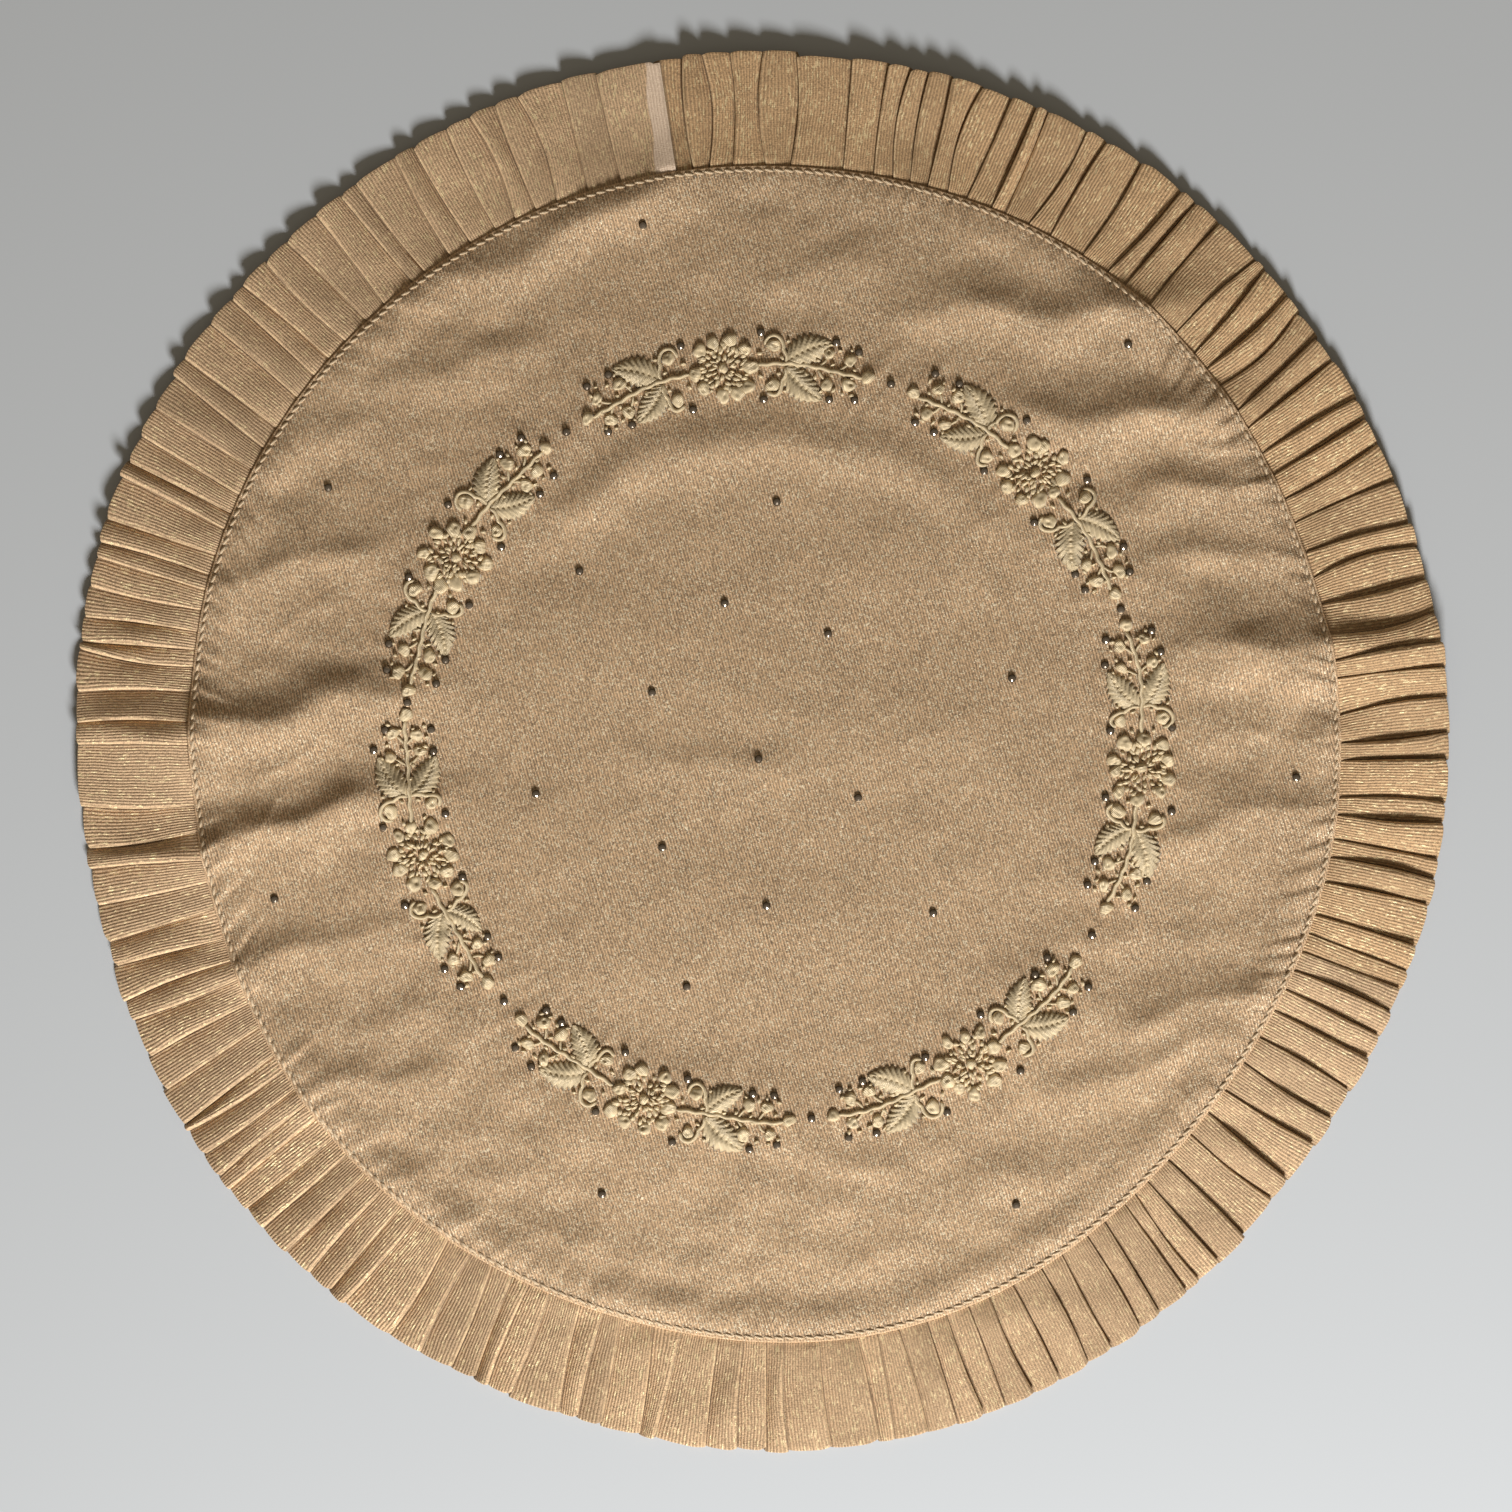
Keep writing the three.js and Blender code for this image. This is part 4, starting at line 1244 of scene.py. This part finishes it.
def make_stones(name, places, materials, radius, rng, *nodes):
    """Stones in their cups at (x, y) places, each turned at random and tipped with the cloth."""
    (cup, cup_faces), (gem, gem_faces) = stone_parts(radius)
    shape = Shape()
    for px, py in places:
        turn = rng.uniform(0, TAU)
        c, s = math.cos(turn), math.sin(turn)
        step = 1.2
        level = float(face_height(np.array(px), np.array(py)))
        slope_x = (face_height(np.array(px + step), np.array(py)) - level) / step
        slope_y = (face_height(np.array(px), np.array(py + step)) - level) / step
        slope_x = slope_x + rng.normal(0, STONE_TILT)
        slope_y = slope_y + rng.normal(0, STONE_TILT)
        for points, faces in ((cup, cup_faces), (gem, gem_faces)):
            x = points[:, 0] * c - points[:, 1] * s
            y = points[:, 0] * s + points[:, 1] * c
            z = points[:, 2] + slope_x * x + slope_y * y + level
            x = x - slope_x * points[:, 2]
            y = y - slope_y * points[:, 2]
            shape.add(np.stack([px + x, py + y, z], axis=-1), faces)
    piece = shape.make(name, materials[0], smooth=False)
    piece.data.materials.append(materials[1])
    cup_count = sum(len(f) for f in cup_faces)
    gem_count = sum(len(f) for f in gem_faces)
    index = np.tile(np.repeat([0, 1], [cup_count, gem_count]), len(places)).astype(np.int32)
    piece.data.polygons.foreach_set("material_index", index)
    return settle(piece, "stone", *nodes)


# ---- Operators ---------------------------------------------------------------------------

class SKIRT_OT_discs(bpy.types.Operator):
    """Builds the face cloth, the lining and the backing between them"""

    bl_idname = "skirt.discs"
    bl_label = "Discs"

    def execute(self, context):
        cloth = context.scene.skirt_cloth
        make_lining(cloth)
        make_backing(cloth)
        make_face(cloth)
        return {"FINISHED"}


class SKIRT_OT_ruffle(bpy.types.Operator):
    """Builds the three pleated strips of the ruffle"""

    bl_idname = "skirt.ruffle"
    bl_label = "Ruffle"

    def execute(self, context):
        cloth = context.scene.skirt_cloth
        rng = np.random.default_rng(23)
        gold = glitter_cloth("ruffle_glitter", cloth.ruffle, cloth.ruffle_glint, "UV", 0.0,
                             cloth.rib / MM, 0.52, 0.16, 0.60,
                             ((0.48, 1.0, 0.10), (0.5, 2.4, 0.17)), marks=("pleats",))
        for index in range(STRIP_COUNT):
            make_strip(index, context.scene.skirt_ruffle, gold, rng)
        return {"FINISHED"}


class SKIRT_OT_embroidery(bpy.types.Operator):
    """Builds the flowers and sprigs of the garland and the topstitching"""

    bl_idname = "skirt.embroidery"
    bl_label = "Embroidery"

    def execute(self, context):
        settings = context.scene.skirt_embroidery
        rng = np.random.default_rng(5)
        thread = satin("satin_thread", settings.thread)
        for k in range(FLOWER_COUNT):
            make_flower(k, settings, thread, rng)
            for side in (-1, 1):
                make_sprig(k, side, settings, thread, rng)
        make_topstitch(satin("sewing_thread", (0.74, 0.56, 0.36), 0.5))
        return {"FINISHED"}


class SKIRT_OT_stones(bpy.types.Operator):
    """Sets the stones on the field, at the sprigs' tips and along the garland"""

    bl_idname = "skirt.stones"
    bl_label = "Stones"

    def execute(self, context):
        settings = context.scene.skirt_stones
        rng = np.random.default_rng(17)
        radius = settings.radius / MM
        materials = (cup_metal("stone_cup", settings.cup),
                     cut_stone("foiled_stone", settings.stone))
        for i in range(FIELD_STONE_COUNT):
            node = f"field_stone_{i + 1:02d}"
            make_stones(node + "_set", [middle(node)[:2]], materials, radius, rng, node)
        for k in range(FLOWER_COUNT):
            node = f"tip_stone_{k + 1}"
            make_stones(node + "_set", [middle(node)[:2]], materials, radius, rng, node)
            places = [garland_point(k, side, along, way * aside)
                      for side in (-1, 1)
                      for way in (1, -1)
                      for along, aside in ((11.6, 9.9), (33.0, 8.6), (40.2, 7.3))]
            places = [place + rng.normal(0, 0.5, 2) for place in places]
            make_stones(f"garland_stones_{k + 1}", places, materials, radius, rng)
        return {"FINISHED"}


class SKIRT_OT_stage(bpy.types.Operator):
    """Lays the floor, hangs the lamp and sets up the camera above"""

    bl_idname = "skirt.stage"
    bl_label = "Stage"

    def execute(self, context):
        scene, stage = context.scene, context.scene.skirt_stage
        size = 3.0
        corners = np.array([[-1, -1], [1, -1], [1, 1], [-1, 1]]) * size / MM
        shape = Shape()
        shape.add(np.column_stack([corners, np.full(4, -0.05)]), [np.array([[0, 1, 2, 3]])])
        paint = Shader("floor_paint", Base_Color=(*stage.floor, 1), Roughness=0.9,
                       Specular_IOR_Level=0.1)
        shape.make("floor", paint.material, smooth=False)

        self.lamp(scene, "window", (0.24, -1.30, 0.845), (0.0, 0.02, 0.0), 0.44, 35.0)
        world = bpy.data.worlds.new("studio")
        world.use_nodes = True
        background = next(n for n in world.node_tree.nodes if n.type == "BACKGROUND")
        background.inputs["Color"].default_value = (1.0, 0.86, 0.64, 1)
        background.inputs["Strength"].default_value = 0.16
        scene.world = world
        scene.view_settings.view_transform = "Standard"

        camera = bpy.data.objects.new("view", bpy.data.cameras.new("view"))
        camera.data.sensor_width = 36
        camera.data.lens = 36 * stage.view_height / stage.view_width
        camera.location = (-0.0018, -0.0012, stage.view_height)
        scene.collection.objects.link(camera)
        scene.camera = camera
        return {"FINISHED"}

    def lamp(self, scene, name, place, target, size, power):
        data = bpy.data.lights.new(name, "AREA")
        data.shape = "DISK"
        data.size = size
        data.energy = power
        lamp = bpy.data.objects.new(name, data)
        lamp.location = place
        aim = Vector(target) - Vector(place)
        lamp.rotation_euler = aim.to_track_quat("-Z", "Y").to_euler()
        scene.collection.objects.link(lamp)


OPERATORS = (SKIRT_OT_discs, SKIRT_OT_ruffle, SKIRT_OT_embroidery, SKIRT_OT_stones, SKIRT_OT_stage)
GROUPS = {"skirt_cloth": SKIRT_PG_cloth, "skirt_ruffle": SKIRT_PG_ruffle,
          "skirt_embroidery": SKIRT_PG_embroidery, "skirt_stones": SKIRT_PG_stones,
          "skirt_stage": SKIRT_PG_stage}


class SKIRT_PT_sidebar(bpy.types.Panel):
    """The skirt's settings and operators"""

    bl_label = "Ruffled skirt"
    bl_space_type = "VIEW_3D"
    bl_region_type = "UI"
    bl_category = "Skirt"

    def draw(self, context):
        for name, group in GROUPS.items():
            box = self.layout.box()
            for setting in group.__annotations__:
                box.prop(getattr(context.scene, name), setting)
        for operator in OPERATORS:
            self.layout.operator(operator.bl_idname)


def register():
    for cls in (*GROUPS.values(), *OPERATORS, SKIRT_PT_sidebar):
        bpy.utils.register_class(cls)
    for name, group in GROUPS.items():
        setattr(bpy.types.Scene, name, PointerProperty(type=group))


def unregister():
    for name in GROUPS:
        delattr(bpy.types.Scene, name)
    for cls in reversed((*GROUPS.values(), *OPERATORS, SKIRT_PT_sidebar)):
        bpy.utils.unregister_class(cls)


def main():
    register()
    bpy.ops.skirt.discs()
    bpy.ops.skirt.ruffle()
    bpy.ops.skirt.embroidery()
    bpy.ops.skirt.stones()
    bpy.ops.skirt.stage()


if __name__ == "__main__":
    main()
